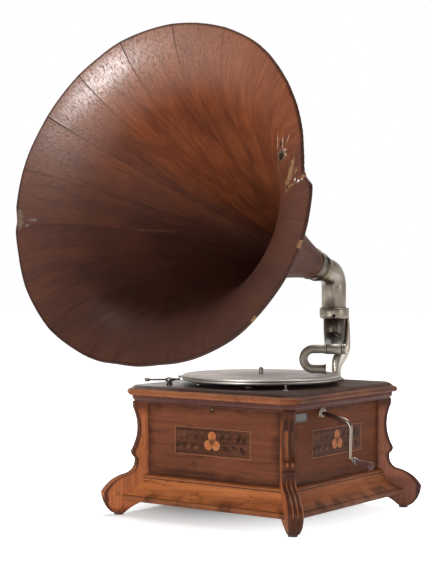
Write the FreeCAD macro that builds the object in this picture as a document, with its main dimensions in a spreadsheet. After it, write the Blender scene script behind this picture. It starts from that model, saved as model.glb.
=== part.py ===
import FreeCAD, Part
import os
import re
import Sketcher

doc = FreeCAD.newDocument("HornGramophone")

# Driving sizes in millimetres and degrees, measured from the floor and from the middle of the case
SIZES = {
    "case_x": -71.95, "case_y": 128.43, "fit": 0.05, "running": 0.08, "gap": 0.3,
    # corner legs: out along the diagonal from the panels' corner, and a bow is an arc's rise off its chord
    "glide_radius": 7.3, "glide_height": 3.0, "leg_offset": 13.5, "leg_depth": 42.1, "neck_inset": 8.7,
    "neck_height": 65.0, "neck_bow_depth": 7.5, "bead_height": 15.0, "bead_inset": 2.6, "bead_bow_depth": 4.2,
    "knee_offset": 11.9, "knee_drop": 26.0, "knee_bow_depth": 5.8, "toe_offset": 50.3, "toe_height": 36.0,
    "toe_top_bow_depth": 5.1, "toe_bow_depth": 3.5, "pad_inset": 14.4, "pad_length": 21.3, "pad_rise": 2.7,
    "pad_bevel": 5.5, "arch_length": 40.7, "arch_bow_depth": 6.3, "leg_half_top": 9.0, "leg_half": 10.3,
    "foot_half": 15.0, "foot_half_low": 8.5, "foot_bow_depth": 2.4, "flute_radius": 2.4, "flute_offset": 4.0,
    # panels, base moulding, frieze, top board
    "skirt_bottom": 24.0, "skirt_height": 41.0, "skirt_flare": 22.0, "skirt_toe": 9.0, "skirt_lip": 3.0,
    "skirt_bow_depth": 5.1, "panel_face": 139.0, "panel_thick": 10.0, "panel_height": 124.7,
    "frieze_offset": 18.1, "frieze_cant": 17.1, "frieze_height": 11.0,
    "lid_offset": 7.5, "lid_cant": 21.5, "lid_nose": 9.0, "lid_round": 4.3, "lid_step": 5.0,
    "lid_rise": 5.8, "lid_slope": 8.0, "floor_thick": 8.0,
    # trim on the panels
    "tag_length": 36.0, "tag_height": 13.0, "tag_cut": 3.6, "tag_thick": 0.8, "tag_y": -105.0,
    "tag_drop": 23.7, "keyhole_radius": 4.5, "keyhole_bore": 2.0, "keyhole_thick": 1.8, "keyhole_drop": 17.0,
    # motor frame under the top board
    "motor_hang": 38.7, "plate_thick": 3.0, "motor_depth": 75.0, "plate_left": -78.0, "plate_right": 106.0,
    "plate_front": -98.0, "plate_back": 58.0, "plate_round": 12.0, "post_inset": 13.0, "post_back_right": 60.0,
    "post_front_right": 30.0, "post_radius": 5.0, "bolt_radius": 2.4,
    "bolt_head": 5.0, "bolt_head_height": 2.4,
    # gear train
    "tooth": 1.25, "great_teeth": 64, "drive_pinion_teeth": 14, "drive_wheel_teeth": 60,
    "spindle_pinion_teeth": 14, "governor_wheel_teeth": 56, "governor_pinion_teeth": 12,
    "wheel_thick": 3.0, "great_thick": 5.0, "pinion_thick": 9.0,
    "barrel_radius": 36.0, "barrel_height": 50.0, "arbor_radius": 5.0, "drive_radius": 4.0,
    "governor_radius": 2.5, "governor_angle": 200.0, "weight_reach": 13.0, "weight_radius": 5.0,
    "disc_radius": 15.0, "disc_thick": 2.0, "great_lift": 13.0, "governor_lift": 47.0, "weight_lift": 22.0,
    "disc_lift": 32.0, "spindle_pinion_lift": 2.0, "drive_lift": 5.0, "shoulder_thick": 1.4, "shaft_over": 1.0,
    "weight_arm": 1.2, "weight_collar": 2.5,
    # turntable
    "spindle_y": -6.0, "spindle_radius": 4.0, "spindle_hole": 6.5, "pin_radius": 3.6, "pin_height": 12.0,
    "platter_radius": 127.0, "platter_edge": 1.5, "platter_rim": 8.6, "platter_lift": 6.5, "platter_web": 2.6,
    "platter_wall": 3.0, "hub_radius": 13.0, "hub_drop": 5.4, "felt_thick": 1.0, "felt_margin": 3.0,
    # crank and winding gear
    "crank_y": -45.0, "crank_drop": 20.7, "crank_tilt": 12.3, "crank_radius": 3.25, "crank_inner": 31.0,
    "crank_reach": 47.0, "crank_throw": 55.0, "crank_lean": 10.3, "crank_bend": 7.0, "crank_pin": 38.0,
    "bush_radius": 7.0, "bush_inner": 20.0, "bush_flange_thick": 1.6,
    "winding_tooth": 1.625, "winding_pinion_teeth": 12, "crown_teeth": 32, "winding_face": 5.0,
    "pinion_inside": 27.0, "crown_thick": 5.0,
    "handle_length": 34.0, "handle_radius": 6.9, "handle_neck": 4.4, "handle_start": 13.0,
    "handle_dome": 8.0, "handle_bow_depth": 1.4,
    "ferrule_length": 5.0, "ferrule_radius": 5.2,
    # horn bracket and its collar
    "bracket_offset": 10.76, "bracket_turn": 64.2, "bracket_inset": 4.0, "base_radius": 13.0,
    "base_thick": 4.0, "column_radius": 7.5, "column_height": 20.0, "hand_radius": 8.6, "hand_height": 10.0,
    "strap_reach": 25.4, "strap_round": 11.5, "strap_width": 15.0, "strap_thick": 8.0,
    "collar_height": 18.5, "collar_radius": 23.4, "collar_bore": 18.0,
    "collar_screw_radius": 1.5, "collar_screw_head": 2.6, "screw_circle": 10.2, "screw_radius": 1.4,
    "screw_head": 2.3, "screw_head_height": 1.2, "screw_length": 14.0, "collar_screw_head_height": 2.4,
    "iron_edge": 1.0, "iron_bevel": 2.0, "trim_edge": 0.6,
    # horn: along its axis from where it crosses the collar's axis
    "horn_yaw": 4.2, "horn_rise": 12.1, "horn_lift": 55.1, "elbow_radius": 20.0, "elbow_wall": 1.5,
    "elbow_bend": 25.0, "elbow_end": 54.0, "spigot_length": 8.4, "spigot_wall": 2.0,
    "ferrule_start": 43.0, "horn_start": 86.0, "sleeve_wall": 2.0, "bead_radius": 2.4, "neck_radius": 25.0,
    "socket_depth": 9.0, "socket_wall": 2.0, "flare_start": 450.0, "flare_radius": 153.0, "cone_bow_depth": 16.5,
    "mouth_start": 525.0, "mouth_radius": 241.7, "horn_wall": 5.0,
    # tone arm: out along its length from the collar's axis
    "arm_heading": -58.4, "arm_neck": 18.4, "arm_root": 17.0, "arm_wall": 1.5, "arm_bend": 24.0,
    "arm_length": 141.0, "arm_tip": 7.6, "arm_spigot": 9.0, "groove_depth": 1.0, "groove_width": 3.6,
    "groove_inset": 2.0,
    "sleeve_radius": 8.1, "sleeve_length": 29.0, "neck_tube": 6.75, "neck_wall": 1.2,
    "neck_left": 31.4, "neck_drop": 31.0, "neck_return": 12.0, "neck_flange": 8.7, "neck_flange_thick": 2.0,
    "neck_over": 4.0, "neck_clear": 4.7,
    # brake and speed regulator on the board
    "brake_offset": 20.8, "brake_angle": 224.7, "brake_post": 5.0, "brake_post_height": 6.0, "brake_pin": 2.5,
    "brake_cap": 1.4, "brake_hub": 5.5, "lever_thick": 4.0, "lever_width": 5.0, "lever_angle": 24.0, "pad_gap": 0.4,
    "pad_round": 3.0, "handle_rod": 1.6, "handle_rod_length": 34.0, "handle_rod_heading": 216.0,
    "knob_radius": 3.2, "speed_x": 109.0, "speed_y": -100.0, "speed_radius": 2.0, "speed_height": 8.6,
    "speed_bush": 4.5, "speed_bush_height": 1.2,
}

# Sizes that follow from the driving ones
DERIVED = {
    "panel_in": "panel_face - panel_thick",
    "skirt_top": "skirt_bottom + skirt_height",
    "lid_bottom": "skirt_top + panel_height",
    "leg_top": "lid_bottom - frieze_height",
    "lid_top": "lid_bottom + lid_nose + lid_rise",
    "leg_reach": "panel_face * sqrt(2) + leg_offset",
    "leg_inner": "leg_reach - leg_depth",
    "neck_top": "leg_top - neck_inset",
    "neck_low": "neck_top - neck_height",
    "bead_low": "neck_low - bead_height",
    "knee_level": "bead_low - knee_drop",
    "knee_reach": "leg_reach + knee_offset",
    "toe_reach": "leg_reach + toe_offset",
    "pad_out": "toe_reach - pad_inset",
    "pad_in": "pad_out - pad_length",
    "arch_reach": "pad_in - arch_length",
    "hollow_round": "neck_height ^ 2 / (8 * neck_bow_depth) + neck_bow_depth / 2",
    "hollow_reach": "leg_reach + hollow_round - neck_bow_depth",
    "hollow_height": "neck_top - neck_height / 2",
    "frieze_half": "panel_face + frieze_offset",
    "lid_half": "frieze_half + lid_offset",
    "corner_cut": "leg_half_top * sqrt(2)",
    "plate_high": "lid_bottom - motor_hang",
    "plate_low": "plate_high - plate_thick - motor_depth",
    "great_bottom": "plate_low + great_lift",
    "great_radius": "great_teeth * tooth / 2",
    "drive_pinion_radius": "drive_pinion_teeth * tooth / 2",
    "drive_wheel_radius": "drive_wheel_teeth * tooth / 2",
    "spindle_pinion_radius": "spindle_pinion_teeth * tooth / 2",
    "governor_wheel_radius": "governor_wheel_teeth * tooth / 2",
    "governor_pinion_radius": "governor_pinion_teeth * tooth / 2",
    "crank_z": "lid_bottom - crank_drop",
    "bush_flange": "crank_drop - frieze_height - 2 * gap",
    "winding_radius": "winding_pinion_teeth * winding_tooth / 2",
    "crown_radius": "crown_teeth * winding_tooth / 2",
    "mesh_x": "panel_face - pinion_inside * cos(crank_tilt) - winding_radius * sin(crank_tilt)",
    "mesh_z": "crank_z + pinion_inside * sin(crank_tilt) - winding_radius * cos(crank_tilt)",
    "arbor_x": "mesh_x - crown_radius",
    "crown_bottom": "mesh_z - winding_tooth * 1.4 - crown_thick",
    # where the drive shaft's two meshes put it, between the barrel and the spindle
    "first_reach": "great_radius + drive_pinion_radius",
    "second_reach": "drive_wheel_radius + spindle_pinion_radius",
    "train_span": "sqrt(arbor_x ^ 2 + (spindle_y - crank_y) ^ 2)",
    "train_along": "(first_reach ^ 2 - second_reach ^ 2 + train_span ^ 2) / (2 * train_span)",
    "train_aside": "sqrt(first_reach ^ 2 - train_along ^ 2)",
    "drive_x": "arbor_x - train_along * arbor_x / train_span"
               " - train_aside * (spindle_y - crank_y) / train_span",
    "drive_y": "crank_y + train_along * (spindle_y - crank_y) / train_span"
               " - train_aside * arbor_x / train_span",
    "governor_reach": "governor_wheel_radius + governor_pinion_radius",
    "governor_x": "governor_reach * cos(governor_angle)",
    "governor_y": "spindle_y + governor_reach * sin(governor_angle)",
    "governor_level": "plate_low + governor_lift",
    "platter_bottom": "lid_top + platter_lift",
    "platter_top": "platter_bottom + platter_rim",
    "pin_top": "platter_top + pin_height",
    "bracket_x": "(platter_radius + bracket_offset) * cos(bracket_turn)",
    "bracket_y": "spindle_y + (platter_radius + bracket_offset) * sin(bracket_turn)",
    "arm_height": "platter_top + neck_clear + neck_flange + neck_drop",
    "collar_bottom": "arm_height + arm_bend + arm_neck",
    "collar_lift": "collar_bottom - lid_top",
    "collar_top": "collar_bottom + collar_height",
    "strap_rise": "sqrt((strap_reach - bracket_inset) * (4 * strap_round - strap_reach + bracket_inset))",
    "strap_start": "base_thick + column_height - hand_height / 2",
    "elbow_turn": "90 - horn_rise",
    "bend_length": "elbow_bend * tan(elbow_turn / 2)",
    "horn_cross": "collar_top + horn_lift",
    "bend_start": "horn_lift - gap - bend_length",
    "cone_angle": "atan((flare_radius - neck_radius) / (flare_start - horn_start))",
    "cone_chord": "sqrt((flare_start - horn_start) ^ 2 + (flare_radius - neck_radius) ^ 2)",
    "cone_round": "cone_chord ^ 2 / (8 * cone_bow_depth) + cone_bow_depth / 2",
    "flare_angle": "cone_angle + 2 * atan(2 * cone_bow_depth / cone_chord)",
    "flare_side": "(mouth_radius - flare_radius) * cos(flare_angle)"
                  " - (mouth_start - flare_start) * sin(flare_angle)",
    "flare_chord": "sqrt((mouth_start - flare_start) ^ 2 + (mouth_radius - flare_radius) ^ 2)",
    "flare_round": "flare_chord ^ 2 / (2 * flare_side)",
    "lip_angle": "flare_angle + 2 * asin(flare_side / flare_chord)",
    "bend_tangent": "crank_bend * tan((90 - crank_lean) / 2)",
    "arm_rise": "crank_throw * tan(crank_lean)",
    # where the lever's length lets its pad stand just off the platter
    "brake_circle": "platter_radius + brake_offset",
    "brake_x": "brake_circle * cos(brake_angle)",
    "brake_y": "spindle_y + brake_circle * sin(brake_angle)",
    "pad_circle": "platter_radius + pad_round + pad_gap",
    "lever_reach": "brake_circle * cos(lever_angle)"
                   " - sqrt(pad_circle ^ 2 - (brake_circle * sin(lever_angle)) ^ 2)",
    "lever_heading": "brake_angle - 180 + lever_angle",
}

sheet = doc.addObject("Spreadsheet::Sheet", "Sizes")
scratch = doc.addObject("Spreadsheet::Sheet", "Scratch")
for row, (alias, figure) in enumerate(SIZES.items(), 1):
    sheet.set(f"A{row}", alias)
    sheet.set(f"B{row}", str(figure))
    sheet.setAlias(f"B{row}", alias)
doc.recompute()

NODES = {}


def bound(text):
    """Writes an expression on the size names as one that any object can be bound to."""
    def swap(match):
        word = match.group(0)
        if word in DERIVED:
            return "(" + bound(DERIVED[word]) + ")"
        return "Sizes." + word if word in SIZES else word
    return re.sub(r"[a-z]\w*", swap, str(text))


def number(text):
    """The present value of an expression on the size names."""
    scratch.set("A1", "=" + bound(text))
    scratch.recompute()
    return float(scratch.get("A1"))


def place(thing, x=0, y=0, z=0, turn="rotationz(0)"):
    """Binds a placement, given from the middle of the case on the floor."""
    base = f"vector({bound(f'case_x + ({x})')}; {bound(f'case_y + ({y})')}; {bound(z)})"
    thing.setExpression("Placement", f"placement({base}; {bound(turn)})")
    return thing


def node(label, thing):
    """Names a finished sub-part."""
    thing.Label = label
    NODES[label] = thing
    return thing


def solid(kind, name, spot, **sizes):
    """A Part primitive with its sizes and its placement bound."""
    thing = doc.addObject("Part::" + kind, name)
    for key, text in sizes.items():
        thing.setExpression(key, bound(text))
    return place(thing, *spot)


def fuse(name, *things):
    made = doc.addObject("Part::MultiFuse", name)
    made.Shapes = list(things)
    return made


def cut(name, base, *tools):
    made = doc.addObject("Part::Cut", name)
    made.Base = base
    made.Tool = tools[0] if len(tools) == 1 else fuse(name + "_tools", *tools)
    return made


def common(name, one, other):
    made = doc.addObject("Part::Common", name)
    made.Base = one
    made.Tool = other
    return made


def group(name, *things):
    made = doc.addObject("Part::Compound", name)
    made.Links = list(things)
    return made


def body(name, *spot):
    return place(doc.addObject("PartDesign::Body", name), *spot)


def blank_sketch(owner, role, name, lift="0"):
    """An empty sketch on one of the body's own origin planes, lifted along the plane's normal."""
    made = owner.newObject("Sketcher::SketchObject", name)
    plane = next(item for item in owner.Origin.OriginFeatures if item.Role == role)
    made.AttachmentSupport = [(plane, "")]
    made.MapMode = "FlatFace"
    made.setExpression("AttachmentOffset.Base.z", bound(lift))
    return made


def pin_point(made, edge, end, spot):
    """Ties one end of an edge to its two coordinates."""
    for kind, text in zip(("DistanceX", "DistanceY"), spot):
        tie = made.addConstraint(Sketcher.Constraint(kind, -1, 1, edge, end, number(text)))
        made.setExpression(f"Constraints[{tie}]", bound(text))


def arc_between(start, finish, radius):
    """A circular arc: a positive radius bends left on the way, a negative one right."""
    chord = finish - start
    across = FreeCAD.Vector(-chord.y, chord.x, 0).normalize()
    reach = (max(radius ** 2 - (chord.Length / 2) ** 2, 0)) ** 0.5
    centre = (start + finish) / 2 + across * (reach if radius > 0 else -reach)
    circle = Part.Circle(centre, FreeCAD.Vector(0, 0, 1), abs(radius))
    first, last = (start, finish) if radius > 0 else (finish, start)
    return Part.ArcOfCircle(circle, circle.parameter(first), circle.parameter(last))


def outline(owner, role, name, points, lift="0", closed=True):
    """A profile through (x, y) points; a third entry is the radius of the arc to the next point."""
    made = blank_sketch(owner, role, name, lift)
    spots = [FreeCAD.Vector(number(point[0]), number(point[1]), 0) for point in points]
    count = len(points) if closed else len(points) - 1
    ends = []
    for index in range(count):
        start = spots[index]
        finish = spots[(index + 1) % len(points)]
        if len(points[index]) == 3:
            radius = number(points[index][2])
            made.addGeometry(arc_between(start, finish, radius))
            tie = made.addConstraint(Sketcher.Constraint("Radius", index, abs(radius)))
            made.setExpression(f"Constraints[{tie}]", bound(f"abs({points[index][2]})"))
            ends.append((1, 2) if radius > 0 else (2, 1))
        else:
            made.addGeometry(Part.LineSegment(start, finish))
            ends.append((1, 2))
    for index in range(count):
        pin_point(made, index, ends[index][0], points[index])
        if index + 1 < count:
            made.addConstraint(Sketcher.Constraint("Coincident", index, ends[index][1], index + 1, ends[index + 1][0]))
        elif closed:
            made.addConstraint(Sketcher.Constraint("Coincident", index, ends[index][1], 0, ends[0][0]))
        else:
            pin_point(made, index, ends[index][1], points[-1])
    return made


def bowed(points, bows):
    """Makes arcs of some of a profile's sides: each stands off its chord by a rise, to the right if negative."""
    made = list(points)
    for index, rise in bows.items():
        start = points[index]
        finish = points[index + 1]
        chord = f"((({finish[0]}) - ({start[0]})) ^ 2 + (({finish[1]}) - ({start[1]})) ^ 2)"
        made[index] = (*start, f"({chord} / (8 * ({rise})) + ({rise}) / 2)")
    return made


def rings(made, *radii):
    """Adds circles about the sketch's origin."""
    for radius in radii:
        circle = Part.Circle(FreeCAD.Vector(0, 0, 0), FreeCAD.Vector(0, 0, 1), number(radius))
        edge = made.addGeometry(circle)
        made.addConstraint(Sketcher.Constraint("Coincident", edge, 3, -1, 1))
        tie = made.addConstraint(Sketcher.Constraint("Radius", edge, number(radius)))
        made.setExpression(f"Constraints[{tie}]", bound(radius))
    return made


def pad(owner, profile, length, both_ways=False):
    made = owner.newObject("PartDesign::Pad", profile.Name + "_pad")
    made.Profile = profile
    made.Midplane = both_ways
    made.setExpression("Length", bound(length))
    return made


def turn_profile(owner, profile, axis="V_Axis"):
    made = owner.newObject("PartDesign::Revolution", profile.Name + "_turned")
    made.Profile = profile
    made.ReferenceAxis = (profile, [axis])
    made.Angle = 360
    return made


def turned(label, points, *spot):
    """A lathe-turned piece: (radius, height) points about its own upright axis."""
    made = body(label, *spot)
    turn_profile(made, outline(made, "XZ_Plane", label + "_profile", points))
    return made


def tube(owner, name, points, *radii):
    """A round pipe along a path in the body's upright plane; a second radius is its bore."""
    path = outline(owner, "XZ_Plane", name + "_path", points, closed=False)
    doc.recompute()
    section = owner.newObject("Sketcher::SketchObject", name + "_section")
    section.AttachmentSupport = [(path, "Edge1")]
    section.MapMode = "NormalToEdge"
    rings(section, *radii)
    return sweep(owner, name, section, path, len(points) - 1)


def sweep(owner, name, section, path, edges):
    doc.recompute()
    made = owner.newObject("PartDesign::AdditivePipe", name + "_pipe")
    made.Profile = section
    made.Spine = (path, [f"Edge{index + 1}" for index in range(edges)])
    return made


def toothed(label, teeth, size, thick, bore, *spot):
    """A spur gear: a bored blank, one straight-sided tooth, and a polar pattern of it."""
    made = body(label, *spot)
    root = f"{size} * ({teeth} / 2 - 1.2)"
    ring = rings(blank_sketch(made, "XY_Plane", label + "_blank"), root, bore)
    pad(made, ring, thick)
    low = f"{size} * 1.0"
    high = f"{size} * 0.27"
    foot = f"{root} - {size} * 0.3"
    tip = f"{size} * ({teeth} / 2 + 0.8)"
    points = [(foot, f"-({low})"), (tip, f"-({high})"), (tip, high), (foot, low)]
    profile = outline(made, "XY_Plane", label + "_tooth", points)
    repeat(made, pad(made, profile, thick), ring, teeth)
    return made


def repeat(owner, feature, about, count):
    doc.recompute()
    made = owner.newObject("PartDesign::PolarPattern", feature.Name + "_round")
    made.Originals = [feature]
    made.Axis = (about, ["N_Axis"])
    made.Angle = 360
    made.setExpression("Occurrences", bound(count))
    owner.Tip = made
    return made


def canted(owner, name, half, cant, lift="0"):
    """A square with its four corners cut off."""
    inner = f"{half} - {cant}"
    points = []
    for first, second in ((1, -1), (1, 1), (-1, 1), (-1, -1)):
        near = (f"{first} * ({half})", f"{second} * ({inner})")
        far = (f"{first} * ({inner})", f"{second} * ({half})")
        points += [far, near] if first * second < 0 else [near, far]
    return outline(owner, "XY_Plane", name, points, lift)


SIDES = ("front", "right", "back", "left")
CORNERS = ("front_right", "back_right", "back_left", "front_left")


def quarter(order):
    """The turn of a side by its order in SIDES, a quarter of the way round for each."""
    return 360 * order // len(SIDES)


def diagonal(order):
    """The turn of a corner by its order in CORNERS, an eighth before its side's next quarter."""
    return quarter(order) - 360 // len(SIDES) // 2


def leg(corner, angle):
    """A corner leg: its scrolled side outline, met by its front outline, with two flutes down the neck."""
    turn = f"rotationz({angle})"
    side = body(f"leg_side_{corner}", 0, 0, 0, turn)
    points = [
        ("leg_reach", "leg_top"),
        ("leg_reach", "neck_top"),
        ("leg_reach", "neck_low"),
        ("leg_reach - bead_inset", "bead_low"),
        ("knee_reach", "knee_level"),
        ("toe_reach", "toe_height"),
        ("pad_out", "glide_height + pad_rise"),
        ("pad_out - pad_bevel", "glide_height"),
        ("pad_in", "glide_height"),
        ("arch_reach", "skirt_bottom"),
        ("leg_inner", "skirt_bottom"),
        ("leg_inner", "leg_top"),
    ]
    bows = {1: "neck_bow_depth", 2: "-bead_bow_depth", 3: "knee_bow_depth", 4: "-toe_top_bow_depth",
            5: "-toe_bow_depth", 8: "arch_bow_depth"}
    profile = outline(side, "XZ_Plane", f"leg_profile_{corner}", bowed(points, bows))
    pad(side, profile, "4 * foot_half", True)
    front = body(f"leg_front_{corner}", 0, 0, 0, turn)
    width = bowed([
        ("leg_half_top", "leg_top"),
        ("leg_half", "neck_low"),
        ("leg_half", "knee_level"),
        ("foot_half", "toe_height"),
        ("foot_half_low", "glide_height"),
        ("-foot_half_low", "glide_height"),
        ("-foot_half", "toe_height"),
        ("-leg_half", "knee_level"),
        ("-leg_half", "neck_low"),
        ("-leg_half_top", "leg_top"),
    ], {3: "-foot_bow_depth", 5: "-foot_bow_depth"})
    pad(front, outline(front, "YZ_Plane", f"leg_width_{corner}", width), "toe_reach * 1.2")
    flutes = []
    for way in (-1, 1):
        aside = f"({way} * flute_offset)"
        x = f"hollow_reach * cos({angle}) - {aside} * sin({angle})"
        y = f"hollow_reach * sin({angle}) + {aside} * cos({angle})"
        spot = (x, y, "hollow_height", f"{turn} * rotationx(90)")
        flutes.append(solid("Torus", f"flute_{corner}_{way + 1}", spot, Radius1="hollow_round", Radius2="flute_radius"))
    return node(f"leg_{corner}", cut(f"leg_{corner}", common(f"leg_form_{corner}", side, front), *flutes))


def bay(label, turn, points, low, high):
    """A board of the given plan between two legs, in the front bay turned to its side."""
    made = body(label, 0, 0, low, turn)
    pad(made, outline(made, "XY_Plane", label + "_plan", points), f"{high} - ({low})")
    return made


def bay_plan(near, far):
    """The plan of a bay between two depths, with its ends along the legs' faces."""
    near_end = f"{near} - corner_cut"
    far_end = f"{far} - corner_cut"
    return [(f"-({near_end})", f"-({near})"), (f"-({far_end})", f"-({far})"), (far_end, f"-({far})"),
            (near_end, f"-({near})")]


# Corner legs and their glides
legs = [leg(corner, diagonal(order)) for order, corner in enumerate(CORNERS)]
all_legs = fuse("all_legs", *legs)
glides = []
for order, corner in enumerate(CORNERS):
    angle = diagonal(order)
    reach = "(pad_out - pad_bevel + pad_in) / 2"
    spot = (f"{reach} * cos({angle})", f"{reach} * sin({angle})", 0)
    glides.append(solid("Cylinder", f"glide_{corner}", spot, Radius="glide_radius", Height="glide_height"))
node("foot_glides", group("foot_glides", *glides))

# Winding shaft bush, whose hole the right panel takes
crank_spot = ("panel_face", "crank_y", "crank_z", "rotationy(90 + crank_tilt)")
bush_tube = turned("bush_tube", [("crank_radius + running", "-bush_inner"), ("bush_radius", "-bush_inner"),
                                 ("bush_radius", "bush_flange_thick * 2"),
                                 ("crank_radius + running", "bush_flange_thick * 2")], *crank_spot)
bush_plate = solid("Cylinder", "bush_plate", ("panel_face", "crank_y", "crank_z", "rotationy(90)"),
                   Radius="bush_flange", Height="bush_flange_thick")
shaft_way = solid("Cylinder", "shaft_way",
                  (f"panel_face - bush_inner * cos(crank_tilt)", "crank_y",
                   "crank_z + bush_inner * sin(crank_tilt)", "rotationy(90 + crank_tilt)"),
                  Radius="crank_radius + running", Height="bush_inner * 2")
node("crank_bush", cut("crank_bush", fuse("bush_form", bush_tube, bush_plate), shaft_way))
bush_way = solid("Cylinder", "bush_way",
                 ("panel_face - bush_inner * cos(crank_tilt)", "crank_y",
                  "crank_z + bush_inner * sin(crank_tilt)", "rotationy(90 + crank_tilt)"),
                 Radius="bush_radius + fit", Height="bush_inner * 2")

# Panels, base mouldings and frieze rails, one of each on every side
for order, side in enumerate(SIDES):
    turn = f"rotationz({quarter(order)})"
    board = bay(f"panel_board_{side}", turn, bay_plan("panel_in", "panel_face"), "skirt_top", "lid_bottom")
    tools = [all_legs, bush_way] if side == "right" else [all_legs]
    node(f"panel_{side}", cut(f"panel_{side}", board, *tools))

    moulding = body(f"moulding_{side}", 0, 0, 0, turn)
    front = "(panel_face + skirt_flare)"
    lip = "(panel_face + skirt_lip)"
    profile = bowed([("-panel_in", "skirt_bottom"), (f"-{front}", "skirt_bottom"),
                     (f"-{front}", "skirt_bottom + skirt_toe"), (f"-{lip}", "skirt_top - skirt_lip"),
                     (f"-{lip}", "skirt_top"), ("-panel_in", "skirt_top")], {2: "skirt_bow_depth"})
    pad(moulding, outline(moulding, "YZ_Plane", f"moulding_profile_{side}", profile), "2 * toe_reach", True)
    space = bay(f"moulding_space_{side}", turn, bay_plan("panel_in - 1", f"{front} + 1"), "0", "skirt_top + 1")
    node(f"skirt_{side}", cut(f"skirt_{side}", common(f"skirt_form_{side}", moulding, space), all_legs))

    half = "frieze_half - frieze_cant / 2"
    plan = [("-panel_face", "-panel_face"), (f"-({half})", f"-({half})"),
            ("frieze_cant - frieze_half", "-frieze_half"), ("frieze_half - frieze_cant", "-frieze_half"),
            (half, f"-({half})"), ("panel_face", "-panel_face")]
    node(f"frieze_{side}", bay(f"frieze_{side}", turn, plan, "leg_top", "lid_bottom"))

floor_board = solid("Box", "floor_blank", ("-panel_in", "-panel_in", "skirt_bottom"),
                    Length="2 * panel_in", Width="2 * panel_in", Height="floor_thick")
node("bottom_board", cut("bottom_board", floor_board, all_legs))

# Top board with a rounded nose and a sloped moulding, bored for what passes through it
POSTS = {
    "back_left": ("plate_left + post_inset", "plate_back - post_inset"),
    "front_left": ("plate_left + post_inset", "plate_front + post_inset"),
    "back_right": ("post_back_right", "plate_back - post_inset"),
    "front_right": ("post_front_right", "plate_front + post_inset"),
}
board = body("board_form", 0, 0, "lid_bottom")
nose = pad(board, canted(board, "nose_plan", "lid_half", "lid_cant"), "lid_nose")
doc.recompute()
nose_edges = [f"Edge{index + 1}" for index, edge in enumerate(nose.Shape.Edges)
              if abs(edge.Vertexes[0].Z - edge.Vertexes[-1].Z) < 1e-6]
rounding = board.newObject("PartDesign::Fillet", "nose_round")
rounding.Base = (nose, nose_edges)
rounding.setExpression("Radius", bound("lid_round"))
low_plan = canted(board, "slope_low", "lid_half - lid_step", "lid_cant - lid_step * 0.6", "lid_nose")
high_plan = canted(board, "slope_high", "lid_half - lid_step - lid_slope",
                   "lid_cant - (lid_step + lid_slope) * 0.6", "lid_nose + lid_rise")
slope = board.newObject("PartDesign::AdditiveLoft", "board_slope")
slope.Profile = low_plan
slope.Sections = [high_plan]
slope.Ruled = True
board_holes = [
    solid("Cylinder", "spindle_way", (0, "spindle_y", "lid_bottom"), Radius="spindle_hole", Height="lid_top"),
    solid("Cylinder", "speed_way", ("speed_x", "speed_y", "lid_bottom"),
          Radius="speed_radius + running", Height="lid_top"),
]
for corner, (x, y) in POSTS.items():
    board_holes.append(solid("Cylinder", f"bolt_way_{corner}", (x, y, "lid_bottom - 1"),
                             Radius="bolt_radius + fit", Height="lid_top"))

# Horn bracket: base and column, bowed strap, collar ring
bracket_spot = ("bracket_x", "bracket_y", "lid_top", "rotationz(bracket_turn)")
bracket = body("bracket_form", *bracket_spot)
strap_path = outline(bracket, "XZ_Plane", "strap_path", [
    ("bracket_inset", "strap_start"),
    ("bracket_inset", "strap_start + hand_height / 2", "-strap_round"),
    ("(bracket_inset + strap_reach) / 2", "strap_start + hand_height / 2 + strap_rise / 2", "strap_round"),
    ("strap_reach", "strap_start + hand_height / 2 + strap_rise"),
    ("strap_reach", "collar_lift + collar_height - iron_edge"),
], closed=False)
strap_half = ("strap_thick / 2", "strap_width / 2")
strap_section = outline(bracket, "XY_Plane", "strap_section", [
    (f"bracket_inset - {strap_half[0]}", f"-{strap_half[1]}"), (f"bracket_inset + {strap_half[0]}", f"-{strap_half[1]}"),
    (f"bracket_inset + {strap_half[0]}", strap_half[1]), (f"bracket_inset - {strap_half[0]}", strap_half[1])],
    "strap_start")
sweep(bracket, "strap", strap_section, strap_path, 4)
column_x = "bracket_x + bracket_inset * cos(bracket_turn)"
column_y = "bracket_y + bracket_inset * sin(bracket_turn)"
column = turned("bracket_column", [
    (0, 0), ("base_radius", 0), ("base_radius", "base_thick - iron_edge"), ("base_radius - iron_bevel", "base_thick"),
    ("column_radius", "base_thick"), ("column_radius", "base_thick + column_height - hand_height"),
    ("hand_radius", "base_thick + column_height - iron_bevel"),
    ("hand_radius - iron_bevel", "base_thick + column_height"),
    (0, "base_thick + column_height")], column_x, column_y, "lid_top", "rotationz(bracket_turn)")
collar = turned("bracket_collar", [
    ("collar_bore", "collar_lift"), ("collar_radius - iron_edge", "collar_lift"),
    ("collar_radius", "collar_lift + iron_edge"), ("collar_radius", "collar_lift + collar_height - iron_edge"),
    ("collar_radius - iron_edge", "collar_lift + collar_height"),
    ("collar_bore", "collar_lift + collar_height")], *bracket_spot)
collar_way = solid("Cylinder", "collar_way", ("bracket_x", "bracket_y", "collar_bottom - iron_edge"),
                   Radius="collar_bore", Height="collar_height + 2 * iron_edge")
screw_level = "collar_bottom + arm_spigot - groove_width / 2 - groove_inset"
screw_turn = "rotationz(arm_heading) * rotationy(90)"
collar_screw_way = solid("Cylinder", "collar_screw_way", ("bracket_x", "bracket_y", screw_level, screw_turn),
                         Radius="collar_screw_radius + fit", Height="collar_radius + iron_edge")
bracket_ways = []
bracket_screws = []
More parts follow.
